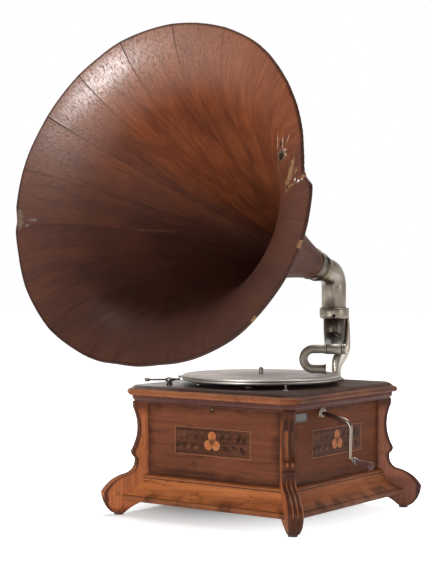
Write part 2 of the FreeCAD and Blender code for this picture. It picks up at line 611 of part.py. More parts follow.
for index in range(3):
    angle = f"(bracket_turn + 60 + {index} * 120)"
    x = f"{column_x} + screw_circle * cos({angle})"
    y = f"{column_y} + screw_circle * sin({angle})"
    bracket_ways.append(solid("Cylinder", f"bracket_way_{index}", (x, y, "lid_top + base_thick - screw_length"),
                              Radius="screw_radius + fit", Height="screw_length * 2"))
    bracket_screws.append(turned(f"bracket_screw_{index}", [
        (0, "-screw_length"), ("screw_radius", "-screw_length"), ("screw_radius", 0), ("screw_head", 0),
        ("screw_head - trim_edge", "screw_head_height"), (0, "screw_head_height")], x, y, "lid_top + base_thick"))
bracket_all = fuse("bracket_all", bracket, column, collar)
node("horn_bracket", cut("horn_bracket", bracket_all, collar_way, collar_screw_way, *bracket_ways))
node("bracket_screws", group("bracket_screws", *bracket_screws))
node("collar_screw", turned("collar_screw", [
    (0, "arm_root - groove_depth + 2 * gap"), ("collar_screw_radius", "arm_root - groove_depth + 2 * gap"),
    ("collar_screw_radius", "collar_radius"), ("collar_screw_head", "collar_radius"),
    ("collar_screw_head", "collar_radius + collar_screw_head_height"),
    (0, "collar_radius + collar_screw_head_height")],
    "bracket_x", "bracket_y", screw_level, screw_turn))

# Brake post and speed bush, let into the board
brake_way = solid("Cylinder", "brake_way", ("brake_x", "brake_y", "lid_top - lid_rise"),
                  Radius="brake_pin + fit", Height="lid_rise + 1")
node("top_board", cut("top_board", board, *board_holes, *bracket_ways, brake_way))
node("brake_post", turned("brake_post", [
    (0, "-lid_rise"), ("brake_pin", "-lid_rise"), ("brake_pin", 0), ("brake_post", 0),
    ("brake_post", "brake_post_height"), ("brake_pin", "brake_post_height"),
    ("brake_pin", "brake_post_height + lever_thick + gap"),
    ("brake_post - iron_edge", "brake_post_height + lever_thick + 2 * gap"),
    ("brake_post - iron_edge", "brake_post_height + lever_thick + 2 * gap + brake_cap"),
    (0, "brake_post_height + lever_thick + 2 * gap + brake_cap")], "brake_x", "brake_y", "lid_top"))
node("speed_bush", turned("speed_bush", [
    ("speed_radius + running", 0), ("speed_bush", 0), ("speed_bush - trim_edge", "speed_bush_height"),
    ("speed_radius + running", "speed_bush_height")], "speed_x", "speed_y", "lid_top"))

# Trim on the front and right panels
node("keyhole_bush", turned("keyhole_bush", [
    ("keyhole_bore", 0), ("keyhole_radius", 0), ("keyhole_radius", "keyhole_thick / 2"),
    ("keyhole_radius - trim_edge", "keyhole_thick"), ("keyhole_bore", "keyhole_thick")],
    0, "-panel_face", "lid_bottom - keyhole_drop", "rotationx(90)"))
tag = body("tag_plate", "panel_face", "tag_y", "lid_bottom - tag_drop")
tag_points = []
for across, up in ((1, -1), (1, 1), (-1, 1), (-1, -1)):
    flat = (f"{across} * (tag_length / 2 - tag_cut)", f"{up} * tag_height / 2")
    upright = (f"{across} * tag_length / 2", f"{up} * (tag_height / 2 - tag_cut)")
    tag_points += [flat, upright] if across * up < 0 else [upright, flat]
pad(tag, outline(tag, "YZ_Plane", "tag_outline", tag_points), "tag_thick")
node("tag_plate", tag)

# Motor frame: two plates, four posts, four pillars and their bolts
AXES = {"arbor": ("arbor_x", "crank_y", "arbor_radius"), "drive": ("drive_x", "drive_y", "drive_radius"),
        "spindle": ("0", "spindle_y", "spindle_radius"),
        "governor": ("governor_x", "governor_y", "governor_radius")}
for label, level in (("motor_top_plate", "plate_high - plate_thick"), ("motor_bottom_plate", "plate_low - plate_thick")):
    plate = body(label + "_form", 0, 0, level)
    left, right, near, far = "plate_left", "plate_right", "plate_front", "plate_back"
    plan = [(f"{left} + plate_round", near), (f"{right} - plate_round", near, "plate_round"),
            (right, f"{near} + plate_round"), (right, f"{far} - plate_round", "plate_round"),
            (f"{right} - plate_round", far), (f"{left} + plate_round", far, "plate_round"),
            (left, f"{far} - plate_round"), (left, f"{near} + plate_round", "plate_round")]
    pad(plate, outline(plate, "XY_Plane", label + "_plan", plan), "plate_thick")
    ways = [solid("Cylinder", f"{label}_{name}", (x, y, f"{level} - 1"), Radius=f"{radius} + running",
                  Height="plate_thick + 2") for name, (x, y, radius) in AXES.items()]
    ways += [solid("Cylinder", f"{label}_bolt_{corner}", (x, y, f"{level} - 1"), Radius="bolt_radius + fit",
                   Height="plate_thick + 2") for corner, (x, y) in POSTS.items()]
    node(label, cut(label, plate, *ways))
posts = []
pillars = []
bolts = []
for corner, (x, y) in POSTS.items():
    posts.append(turned(f"post_{corner}", [
        ("bolt_radius + fit", 0), ("post_radius", 0), ("post_radius", "motor_depth"),
        ("bolt_radius + fit", "motor_depth")], x, y, "plate_low"))
    pillars.append(turned(f"pillar_{corner}", [
        ("bolt_radius + fit", 0), ("post_radius", 0), ("post_radius", "motor_hang"),
        ("bolt_radius + fit", "motor_hang")], x, y, "plate_high"))
    bolts.append(turned(f"bolt_{corner}", [
        (0, "plate_low - plate_thick - lid_top"), ("bolt_radius", "plate_low - plate_thick - lid_top"),
        ("bolt_radius", 0), ("bolt_head", 0), ("bolt_head", "bolt_head_height / 2"),
        ("bolt_head - iron_edge", "bolt_head_height"), (0, "bolt_head_height")], x, y, "lid_top"))
node("motor_posts", group("motor_posts", *posts))
node("motor_pillars", group("motor_pillars", *pillars))
node("motor_bolts", group("motor_bolts", *bolts))

# Turntable: spindle with its pinion and the governor's wheel, platter and felt
to_drive = "atan2(drive_y - spindle_y; drive_x)"
shoulder = "plate_low + gap"
spindle_rod = turned("spindle_rod", [
    (0, "plate_low - plate_thick - shaft_over"), ("spindle_radius", "plate_low - plate_thick - shaft_over"),
    ("spindle_radius", shoulder), ("spindle_radius + 3", shoulder), ("spindle_radius + 3", f"{shoulder} + shoulder_thick"),
    ("spindle_radius", f"{shoulder} + shoulder_thick"), ("spindle_radius", "platter_top"),
    ("pin_radius", "platter_top"), ("pin_radius", "pin_top - pin_radius", "pin_radius"),
    (0, "pin_top")], 0, "spindle_y", 0)
spindle_leaves = toothed("spindle_leaves", "spindle_pinion_teeth", "tooth", "pinion_thick", "spindle_radius - 1",
                         0, "spindle_y", "plate_low + spindle_pinion_lift",
                         f"rotationz({to_drive}) * rotationz(180 / spindle_pinion_teeth)")
node("spindle", fuse("spindle", spindle_rod, spindle_leaves))
node("governor_wheel", toothed("governor_wheel", "governor_wheel_teeth", "tooth", "wheel_thick",
                               "spindle_radius + fit", 0, "spindle_y", "governor_level",
                               "rotationz(governor_angle)"))
node("platter", turned("platter", [
    ("spindle_radius + fit", "platter_rim - felt_thick - platter_web - hub_drop"),
    ("hub_radius", "platter_rim - felt_thick - platter_web - hub_drop"),
    ("hub_radius", "platter_rim - felt_thick - platter_web"),
    ("platter_radius - platter_wall", "platter_rim - felt_thick - platter_web"),
    ("platter_radius - platter_wall", 0), ("platter_radius - trim_edge", 0), ("platter_radius", "trim_edge"),
    ("platter_radius", "platter_rim - platter_edge", "platter_edge"),
    ("platter_radius - platter_edge", "platter_rim"),
    ("platter_radius - felt_margin", "platter_rim"), ("platter_radius - felt_margin", "platter_rim - felt_thick"),
    ("spindle_radius + fit", "platter_rim - felt_thick")], 0, "spindle_y", "platter_bottom"))
node("platter_felt", turned("platter_felt", [
    ("spindle_radius + fit", 0), ("platter_radius - felt_margin - fit", 0),
    ("platter_radius - felt_margin - fit", "felt_thick"), ("spindle_radius + fit", "felt_thick")],
    0, "spindle_y", "platter_top - felt_thick"))

# Spring barrel with its great wheel, turning about the winding arbor
to_first = "atan2(drive_y - crank_y; drive_x - arbor_x)"
node("spring_barrel", turned("spring_barrel", [
    ("arbor_radius + running", "great_thick"), ("barrel_radius", "great_thick"),
    ("barrel_radius", "great_thick + barrel_height - 3"), ("barrel_radius - 2", "great_thick + barrel_height"),
    ("arbor_radius + running", "great_thick + barrel_height")], "arbor_x", "crank_y", "great_bottom"))
node("great_wheel", toothed("great_wheel", "great_teeth", "tooth", "great_thick", "arbor_radius + running",
                            "arbor_x", "crank_y", "great_bottom", f"rotationz({to_first})"))

# Drive shaft
drive_rod = turned("drive_rod", [
    (0, "plate_low - plate_thick - shaft_over"), ("drive_radius", "plate_low - plate_thick - shaft_over"),
    ("drive_radius", shoulder), ("drive_radius + 2", shoulder), ("drive_radius + 2", f"{shoulder} + shoulder_thick"),
    ("drive_radius", f"{shoulder} + shoulder_thick"), ("drive_radius", "plate_high + shaft_over"), (0, "plate_high + shaft_over")],
    "drive_x", "drive_y", 0)
drive_leaves = toothed("drive_leaves", "drive_pinion_teeth", "tooth", "pinion_thick", "drive_radius - 1",
                       "drive_x", "drive_y", "great_bottom + great_thick / 2 - pinion_thick / 2",
                       f"rotationz({to_first}) * rotationz(180 + 180 / drive_pinion_teeth)")
node("drive_shaft", fuse("drive_shaft", drive_rod, drive_leaves))
node("drive_wheel", toothed("drive_wheel", "drive_wheel_teeth", "tooth", "wheel_thick", "drive_radius + fit",
                            "drive_x", "drive_y", "plate_low + drive_lift", f"rotationz({to_drive}) * rotationz(180)"))

# Governor: shaft and pinion, three weights on a collar, friction disc
governor_rod = turned("governor_rod", [
    (0, "plate_low - plate_thick - shaft_over"), ("governor_radius", "plate_low - plate_thick - shaft_over"),
    ("governor_radius", shoulder), ("governor_radius + 2", shoulder), ("governor_radius + 2", f"{shoulder} + shoulder_thick"),
    ("governor_radius", f"{shoulder} + shoulder_thick"), ("governor_radius", "plate_high + shaft_over"), (0, "plate_high + shaft_over")],
    "governor_x", "governor_y", 0)
governor_leaves = toothed("governor_leaves", "governor_pinion_teeth", "tooth", "pinion_thick", "governor_radius - 1",
                          "governor_x", "governor_y", "governor_level + wheel_thick / 2 - pinion_thick / 2",
                          "rotationz(governor_angle + 180 + 180 / governor_pinion_teeth)")
node("governor_shaft", fuse("governor_shaft", governor_rod, governor_leaves))
weight_level = "plate_low + weight_lift"
weight_pieces = [turned("weight_collar", [
    ("governor_radius + fit", "-weight_collar"), ("governor_radius + weight_collar", "-weight_collar"),
    ("governor_radius + weight_collar", "weight_collar"), ("governor_radius + fit", "weight_collar")], "governor_x", "governor_y", weight_level)]
for index in range(3):
    angle = f"({index} * 120 + 30)"
    x = f"governor_x + weight_reach * cos({angle})"
    y = f"governor_y + weight_reach * sin({angle})"
    weight_pieces.append(solid("Sphere", f"weight_{index}", (x, y, weight_level), Radius="weight_radius"))
    start = "(governor_radius + 1.5)"
    spot = (f"governor_x + {start} * cos({angle})", f"governor_y + {start} * sin({angle})", weight_level,
            f"rotationz({angle}) * rotationy(90)")
    weight_pieces.append(solid("Cylinder", f"weight_arm_{index}", spot, Radius="weight_arm",
                               Height=f"weight_reach - {start}"))
node("governor_weights", fuse("governor_weights", *weight_pieces))
node("governor_disc", turned("governor_disc", [
    ("governor_radius + fit", 0), ("disc_radius", 0), ("disc_radius", "disc_thick"),
    ("governor_radius + 3", "disc_thick"), ("governor_radius + 3", "disc_thick + 3"),
    ("governor_radius + fit", "disc_thick + 3")], "governor_x", "governor_y", "plate_low + disc_lift"))

# Winding arbor with its crown wheel
node("winding_arbor", turned("winding_arbor", [
    (0, "plate_low - plate_thick - shaft_over"), ("arbor_radius", "plate_low - plate_thick - shaft_over"),
    ("arbor_radius", shoulder), ("arbor_radius + 4", shoulder), ("arbor_radius + 4", "great_bottom - gap"),
    ("arbor_radius", "great_bottom - gap"), ("arbor_radius", "crown_bottom + crown_thick"),
    (0, "crown_bottom + crown_thick")], "arbor_x", "crank_y", 0))
crown = body("crown_wheel", "arbor_x", "crank_y", "crown_bottom", "rotationz(180 / crown_teeth)")
crown_out = "(crown_radius + winding_face / 2)"
crown_ring = rings(blank_sketch(crown, "XY_Plane", "crown_blank"), crown_out, "arbor_radius + fit")
pad(crown, crown_ring, "crown_thick")
crown_half = "winding_tooth * 0.55"
crown_tooth = outline(crown, "XY_Plane", "crown_tooth", [
    ("crown_radius - winding_face / 2", f"-({crown_half})"), (f"{crown_out} - 0.1", f"-({crown_half})"),
    (f"{crown_out} - 0.1", crown_half), ("crown_radius - winding_face / 2", crown_half)], "crown_thick - 0.2")
repeat(crown, pad(crown, crown_tooth, "winding_tooth * 2 + 0.2"), crown_ring, "crown_teeth")
node("crown_wheel", crown)

# Crank: bent rod with the winding pinion, and its turned handle
crank = body("crank_rod", *crank_spot)
lean_x = "bend_tangent * cos(crank_lean)"
lean_z = "bend_tangent * sin(crank_lean)"
tube(crank, "crank", [
    (0, "-crank_inner"),
    (0, "crank_reach - bend_tangent", "-crank_bend"),
    (lean_x, f"crank_reach + {lean_z}"),
    (f"crank_throw - {lean_x}", f"crank_reach + arm_rise - {lean_z}", "crank_bend"),
    ("crank_throw", "crank_reach + arm_rise + bend_tangent"),
    ("crank_throw", "crank_reach + arm_rise + crank_pin"),
], "crank_radius")
node("crank_rod", crank)
pinion_x = "panel_face - (pinion_inside + winding_face / 2) * cos(crank_tilt)"
pinion_z = "crank_z + (pinion_inside + winding_face / 2) * sin(crank_tilt)"
node("winding_pinion", toothed("winding_pinion", "winding_pinion_teeth", "winding_tooth", "winding_face",
                               "crank_radius + fit", pinion_x, "crank_y", pinion_z,
                               "rotationy(90 + crank_tilt)"))
handle_along = "(crank_reach + arm_rise + handle_start)"
handle_x = f"panel_face + {handle_along} * cos(crank_tilt) - crank_throw * sin(crank_tilt)"
handle_z = f"crank_z - {handle_along} * sin(crank_tilt) - crank_throw * cos(crank_tilt)"
handle_spot = (handle_x, "crank_y", handle_z, "rotationy(90 + crank_tilt)")
pin_bore = "crank_radius + running"
pin_end = "(crank_pin - handle_start + gap)"
node("handle_ferrule", turned("handle_ferrule", [
    (pin_bore, 0), ("ferrule_radius - trim_edge", 0), ("ferrule_radius", "trim_edge"),
    ("ferrule_radius", "ferrule_length"),
    (pin_bore, "ferrule_length")], *handle_spot))
node("crank_handle", turned("crank_handle", bowed([
    (pin_bore, "ferrule_length"), ("handle_neck", "ferrule_length"),
    ("handle_radius", "handle_length - handle_dome", "(handle_radius ^ 2 + handle_dome ^ 2) / (2 * handle_dome)"),
    (0, "handle_length"), (0, pin_end), (pin_bore, pin_end)], {1: "handle_bow_depth"}), *handle_spot))

# Horn: elbow that turns in the collar, beaded ferrule, wooden bell
elbow = body("horn_elbow", "bracket_x", "bracket_y", "collar_top + gap", "rotationz(horn_yaw - 90)")
spigot = rings(blank_sketch(elbow, "XY_Plane", "elbow_spigot", "-spigot_length - gap"),
               "collar_bore - running", "collar_bore - running - spigot_wall")
pad(elbow, spigot, "spigot_length + gap + 3")
tube(elbow, "elbow", [
    (0, 0), (0, "bend_start", "-elbow_bend"),
    ("bend_length * cos(horn_rise)", "horn_cross - collar_top - gap + bend_length * sin(horn_rise)"),
    ("elbow_end * cos(horn_rise)", "horn_cross - collar_top - gap + elbow_end * sin(horn_rise)"),
], "elbow_radius", "elbow_radius - elbow_wall * 2")
node("horn_elbow", elbow)
horn_spot = ("bracket_x", "bracket_y", "horn_cross", "rotationz(horn_yaw - 90) * rotationy(90 - horn_rise)")
sleeve_out = "elbow_radius + fit + sleeve_wall"
socket_out = "neck_radius"
node("horn_ferrule", turned("horn_ferrule", [
    ("elbow_radius + fit", "ferrule_start"), (sleeve_out, "ferrule_start", "bead_radius"),
    (sleeve_out, "ferrule_start + 2 * bead_radius"),
    (sleeve_out, "horn_start - socket_depth - 2 * bead_radius"),
    (socket_out, "horn_start - 2 * bead_radius", "bead_radius"), (socket_out, "horn_start"),
    ("neck_radius - socket_wall", "horn_start"), ("neck_radius - socket_wall", "horn_start - socket_depth"),
    ("elbow_radius + fit", "horn_start - socket_depth")], *horn_spot))
lip_r = "mouth_radius - horn_wall * cos(lip_angle)"
lip_s = "mouth_start + horn_wall * sin(lip_angle)"
turn_r = "flare_radius - horn_wall * cos(flare_angle)"
turn_s = "flare_start + horn_wall * sin(flare_angle)"
neck_in = "neck_radius - socket_wall - fit - horn_wall + 1"
node("horn", turned("horn", [
    (neck_in, "horn_start - socket_depth + gap"),
    ("neck_radius - socket_wall - fit", "horn_start - socket_depth + gap"),
    ("neck_radius - socket_wall - fit", "horn_start + fit"), ("neck_radius", "horn_start + fit", "-cone_round"),
    ("flare_radius", "flare_start", "-flare_round"), ("mouth_radius", "mouth_start"),
    (lip_r, lip_s, "flare_round + horn_wall"), (turn_r, turn_s, "cone_round + horn_wall")], *horn_spot))

# Tone arm: spigot in the collar, bend, tapered arm, cross sleeve
arm_spot = ("bracket_x", "bracket_y", "arm_height", "rotationz(arm_heading)")
root_top = "(collar_bottom - gap - arm_height)"
spigot_top = f"{root_top} + gap + arm_spigot"
arm = body("arm_form", *arm_spot)
spigot_bore = "arm_root - arm_wall"
turn_profile(arm, outline(arm, "XZ_Plane", "arm_spigot", [
    (spigot_bore, f"{root_top} - iron_edge"), ("arm_root", f"{root_top} - iron_edge"), ("arm_root", root_top),
    ("collar_bore - running", f"{root_top} + 2 * gap"),
    ("collar_bore - running", f"{spigot_top} - groove_inset - groove_width"),
    ("arm_root - groove_depth + gap", f"{spigot_top} - groove_inset - groove_width"),
    ("arm_root - groove_depth + gap", f"{spigot_top} - groove_inset"),
    ("collar_bore - running", f"{spigot_top} - groove_inset"),
    ("collar_bore - running", spigot_top),
    (spigot_bore, spigot_top)]))
tube(arm, "arm_bend", [(0, root_top), (0, "arm_bend", "arm_bend"), ("arm_bend", 0)], "arm_root", spigot_bore)
turn_profile(arm, outline(arm, "XZ_Plane", "arm_taper", [
    ("arm_bend", "arm_root"), ("arm_bend", spigot_bore), ("arm_length", "arm_tip - arm_wall"),
    ("arm_length", "arm_tip")]), "H_Axis")
tip_x = "bracket_x + arm_length * cos(arm_heading)"
tip_y = "bracket_y + arm_length * sin(arm_heading)"
across = "rotationz(arm_heading) * rotationx(-90)"
half_x = "sleeve_length / 2 * sin(arm_heading)"
half_y = "sleeve_length / 2 * cos(arm_heading)"
sleeve_spot = (f"{tip_x} + {half_x}", f"{tip_y} - {half_y}", "arm_height", across)
sleeve_solid = solid("Cylinder", "sleeve_solid", sleeve_spot, Radius="sleeve_radius", Height="sleeve_length")
node("tone_arm", cut("tone_arm", arm, sleeve_solid))
node("arm_sleeve", turned("arm_sleeve", [
    ("neck_tube + running", 0), ("sleeve_radius - trim_edge", 0), ("sleeve_radius", "trim_edge"),
    ("sleeve_radius", "sleeve_length - trim_edge"), ("sleeve_radius - trim_edge", "sleeve_length"),
    ("neck_tube + running", "sleeve_length")], *sleeve_spot))

# Gooseneck, hanging from the sleeve: upper leg, half turn, lower leg with its end flange
gooseneck = body("gooseneck_form", tip_x, tip_y, "arm_height", "rotationz(arm_heading + 90)")
neck_end = "(sleeve_length / 2 + neck_over)"
tube(gooseneck, "gooseneck", [
    (neck_end, 0), ("-neck_left", 0, "neck_drop / 2"),
    ("-neck_left - neck_drop / 2", "-neck_drop / 2", "neck_drop / 2"),
    ("-neck_left", "-neck_drop"), ("-neck_return", "-neck_drop"),
], "neck_tube", "neck_tube - neck_wall")
flange_x = f"{tip_x} + neck_return * sin(arm_heading)"
flange_y = f"{tip_y} - neck_return * cos(arm_heading)"
flange = turned("neck_flange_form", [
    ("neck_tube - neck_wall", "-neck_flange_thick"), ("neck_flange", "-neck_flange_thick"), ("neck_flange", 0),
    ("neck_tube - neck_wall", 0)], flange_x, flange_y, "arm_height - neck_drop", across)
keeper = turned("neck_keeper_form", [
    ("neck_tube - neck_wall", "sleeve_length + gap"), ("sleeve_radius", "sleeve_length + gap"),
    ("sleeve_radius", "sleeve_length + neck_over"), ("neck_tube - neck_wall", "sleeve_length + neck_over")],
    *sleeve_spot)
node("gooseneck", fuse("gooseneck", gooseneck, flange, keeper))

# Brake lever with its felt pad
lever_level = "lid_top + brake_post_height + gap / 2"
hub = turned("lever_hub", [
    ("brake_pin + running", 0), ("brake_hub", 0), ("brake_hub", "lever_thick"), ("brake_pin + running", "lever_thick")],
    "brake_x", "brake_y", lever_level)
bar = body("lever_bar", "brake_x", "brake_y", lever_level, "rotationz(lever_heading)")
pad(bar, outline(bar, "XY_Plane", "lever_plan", [
    ("brake_pin + 1", "-lever_width / 2"), ("lever_reach", "-lever_width / 2", "lever_width / 2"),
    ("lever_reach + lever_width / 2", 0, "lever_width / 2"), ("lever_reach", "lever_width / 2"),
    ("brake_pin + 1", "lever_width / 2")]), "lever_thick")
rod_spot = ("brake_x + (brake_pin + 1) * cos(handle_rod_heading)",
            "brake_y + (brake_pin + 1) * sin(handle_rod_heading)", f"{lever_level} + lever_thick / 2",
            "rotationz(handle_rod_heading) * rotationy(90)")
rod = turned("lever_rod", [
    (0, 0), ("handle_rod", 0),
    ("handle_rod", "handle_rod_length - sqrt(knob_radius ^ 2 - handle_rod ^ 2)", "knob_radius"),
    (0, "handle_rod_length + knob_radius")], *rod_spot)
node("brake_lever", fuse("brake_lever", hub, bar, rod))
node("brake_pad", solid("Cylinder", "brake_pad",
                        ("brake_x + lever_reach * cos(lever_heading)", "brake_y + lever_reach * sin(lever_heading)",
                         f"{lever_level} + lever_thick"), Radius="pad_round", Height="lever_thick"))

# Speed regulator screw
node("speed_screw", turned("speed_screw", [
    (0, "lid_bottom - lid_top - 6"), ("speed_radius", "lid_bottom - lid_top - 6"),
    ("speed_radius", "speed_height - trim_edge"), ("speed_radius - trim_edge", "speed_height"), (0, "speed_height")],
    "speed_x", "speed_y", "lid_top"))

doc.recompute()
faults = [item.Label for item in doc.Objects if "Invalid" in item.State or "Error" in item.State]
faults += [label for label, item in NODES.items() if item.Shape.isNull() or not item.Shape.isValid()]
if faults:
    raise RuntimeError("faulty objects: " + ", ".join(faults))
os.makedirs("parts", exist_ok=True)
for label, item in NODES.items():
    item.Shape.exportStep(f"parts/{label}.step")
whole = FreeCAD.BoundBox()
for item in NODES.values():
    whole.add(item.Shape.optimalBoundingBox(False))
print(len(NODES), "nodes, outline", whole)
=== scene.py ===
import bpy
import numpy as np
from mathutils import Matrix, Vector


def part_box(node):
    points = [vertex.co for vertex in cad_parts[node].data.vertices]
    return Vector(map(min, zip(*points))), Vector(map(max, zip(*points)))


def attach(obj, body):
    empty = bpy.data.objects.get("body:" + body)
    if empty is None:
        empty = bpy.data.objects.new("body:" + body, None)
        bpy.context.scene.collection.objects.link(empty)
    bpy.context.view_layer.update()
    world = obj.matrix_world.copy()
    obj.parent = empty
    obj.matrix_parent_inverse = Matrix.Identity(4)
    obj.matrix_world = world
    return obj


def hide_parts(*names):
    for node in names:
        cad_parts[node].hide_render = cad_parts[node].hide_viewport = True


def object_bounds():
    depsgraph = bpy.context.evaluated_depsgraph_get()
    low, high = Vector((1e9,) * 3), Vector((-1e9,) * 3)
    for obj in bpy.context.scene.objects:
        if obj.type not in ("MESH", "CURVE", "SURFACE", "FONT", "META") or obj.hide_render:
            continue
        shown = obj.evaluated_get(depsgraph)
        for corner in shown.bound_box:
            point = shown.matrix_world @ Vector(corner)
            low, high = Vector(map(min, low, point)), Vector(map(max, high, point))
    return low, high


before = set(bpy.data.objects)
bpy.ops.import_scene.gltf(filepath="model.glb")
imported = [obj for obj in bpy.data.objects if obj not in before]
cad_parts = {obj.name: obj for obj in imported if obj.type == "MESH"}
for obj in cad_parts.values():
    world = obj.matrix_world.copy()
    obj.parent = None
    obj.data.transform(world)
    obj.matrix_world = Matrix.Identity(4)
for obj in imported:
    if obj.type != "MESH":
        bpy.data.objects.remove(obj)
cad_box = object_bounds()
scene = bpy.context.scene
scene.view_settings.view_transform = "Standard"

# Studio: the photograph's camera, a white sweep with a dim ceiling, four softboxes (a low one ahead of the horn, two
# weaker ones on the right and a broad one overhead) and a white floor that keeps the shadow of the machine.
lens = bpy.data.cameras.new("lens")
lens.sensor_width = 36
lens.lens = 94.66
camera = bpy.data.objects.new("camera", lens)
camera.location = (1.2656, -1.8284, 0.3924)
camera.rotation_euler = np.radians((89.45, 0, 36.19))
scene.collection.objects.link(camera)
scene.camera = camera

for name, spot, target, size, power in (
        ("front_softbox", (-0.07, -2.0, 0.20), (0.0, -0.2, 0.45), 0.62, 22),
        ("right_softbox", (2.3, 0.45, 0.6), (0.0, 0.0, 0.3), 0.8, 8),
        ("fill_softbox", (1.5, -2.1, 0.5), (0.0, 0.0, 0.1), 1.4, 5),
        ("top_softbox", (-0.25, 0.9, 2.4), (0.0, 0.0, 0.1), 2.2, 72)):
    lamp = bpy.data.lights.new(name, "AREA")
    lamp.size = size
    lamp.energy = power
    box = bpy.data.objects.new(name, lamp)
    aim = np.subtract(target, spot)
    box.location = spot
    box.rotation_euler = (np.arctan2(np.hypot(aim[0], aim[1]), -aim[2]), 0, np.arctan2(-aim[0], aim[1]))
    scene.collection.objects.link(box)


def plug(tree, inputs, values):
    """Links each named input to its value where that is a socket, and sets it where it is a number or a colour."""
    for key, value in values.items():
        if isinstance(value, bpy.types.NodeSocket):
            tree.links.new(value, inputs[key])
        else:
            inputs[key].default_value = value


def add(kind, inputs=None, tree=None, out=0, **settings):
    """One shader node: settings are its own properties, and each input is a number, a colour or a socket. With no
    tree named it joins the tree of its first socket. The output called out comes back, or all of them for None."""
    inputs = inputs or {}
    if tree is None:
        tree = next(value for value in inputs.values() if isinstance(value, bpy.types.NodeSocket)).id_data
    made = tree.nodes.new("ShaderNode" + kind)
    for key, value in settings.items():
        setattr(made, key, value)
    plug(tree, made.inputs, inputs)
    return made.outputs if out is None else made.outputs[out]


def math(operation, one, other=0.5):
    """A Math node's value."""
    return add("Math", {0: one, 1: other}, operation=operation)


def times(one, other):
    """The product of two values."""
    return math("MULTIPLY", one, other)


def ranged(value, low, high, to_low=0.0, to_high=1.0):
    """A value carried in a straight line from one range to another and held at its ends."""
    return add("MapRange", {0: value, 1: low, 2: high, 3: to_low, 4: to_high})


def distance(spot, centre):
    """How far a place is from a centre, in metres."""
    return add("VectorMath", {0: spot, 1: centre}, out="Value", operation="DISTANCE")


world = bpy.data.worlds.new("sweep")
scene.world = world
world.use_nodes = True
sky = world.node_tree
sky.nodes.clear()
around_us = add("TexCoord", tree=sky, out="Generated")
ahead = add("VectorMath", {0: around_us, 1: (0.35, -0.85, 0.40)}, out="Value", operation="DOT_PRODUCT")
height = add("SeparateXYZ", {0: around_us}, out=2)
level = times(ranged(ahead, -0.25, 0.6, 0.75, 0.10), ranged(height, 0.15, 0.60, 1.0, 0.12))
level = ranged(add("LightPath", tree=sky, out="Is Camera Ray"), 0.0, 1.0, level, 1.0)
add("OutputWorld", {0: add("Background", {"Color": (1, 1, 1, 1), "Strength": level})}, out=None)

FLOOR_REACH, FLOOR_LEVEL, SHADOW = 9, -0.0004, (-0.192, 0.148, 0)
floor_mesh = bpy.data.meshes.new("floor")
corners = [(x * FLOOR_REACH, y * FLOOR_REACH, FLOOR_LEVEL) for x, y in ((-1, -1), (1, -1), (1, 1), (-1, 1))]
floor_mesh.from_pydata(corners, [], [(0, 1, 2, 3)])
floor = bpy.data.objects.new("floor", floor_mesh)
scene.collection.objects.link(floor)
paper = bpy.data.materials.new("white_sweep")
paper.use_nodes = True
sheet = paper.node_tree
sheet.nodes.clear()
rays = add("LightPath", tree=sheet, out=None)
seen = math("MAXIMUM", rays["Is Camera Ray"], times(rays["Is Glossy Ray"], 0.45))
away = distance(add("TexCoord", tree=sheet, out="Object"), SHADOW)
# the floor glows for camera and glossy rays, less within 32 cm of SHADOW: a painted shadow round the machine over its
# real one
lifted = add("Emission", {"Strength": times(seen, ranged(away, 0.06, 0.32, 0.12, 1.0))})
matt = add("BsdfDiffuse", {"Color": (0.86, 0.86, 0.86, 1)}, sheet)
add("OutputMaterial", {0: add("AddShader", {0: matt, 1: lifted})}, out=None)
floor_mesh.materials.append(paper)

# Corner legs: four sawn walnut scrolls, set on the diagonals, with a fluted neck, a turned-over bead and a foot
# whose front is carved in three reeds. Glued into the corners of the case. The grain runs upright.
MM, UP = 0.001, (0, 0, 1)
SHARP_RADIUS, FLAT_BELOW = 0.0025, 0.15
board_low, board_high = (np.array(corner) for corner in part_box("top_board"))
middle = np.append((board_low[:2] + board_high[:2]) / 2, 0)


def at(points):
    """Millimetres from the middle of the case, on the floor, to metres in the frame."""
    return np.asarray(points, float) * MM + middle


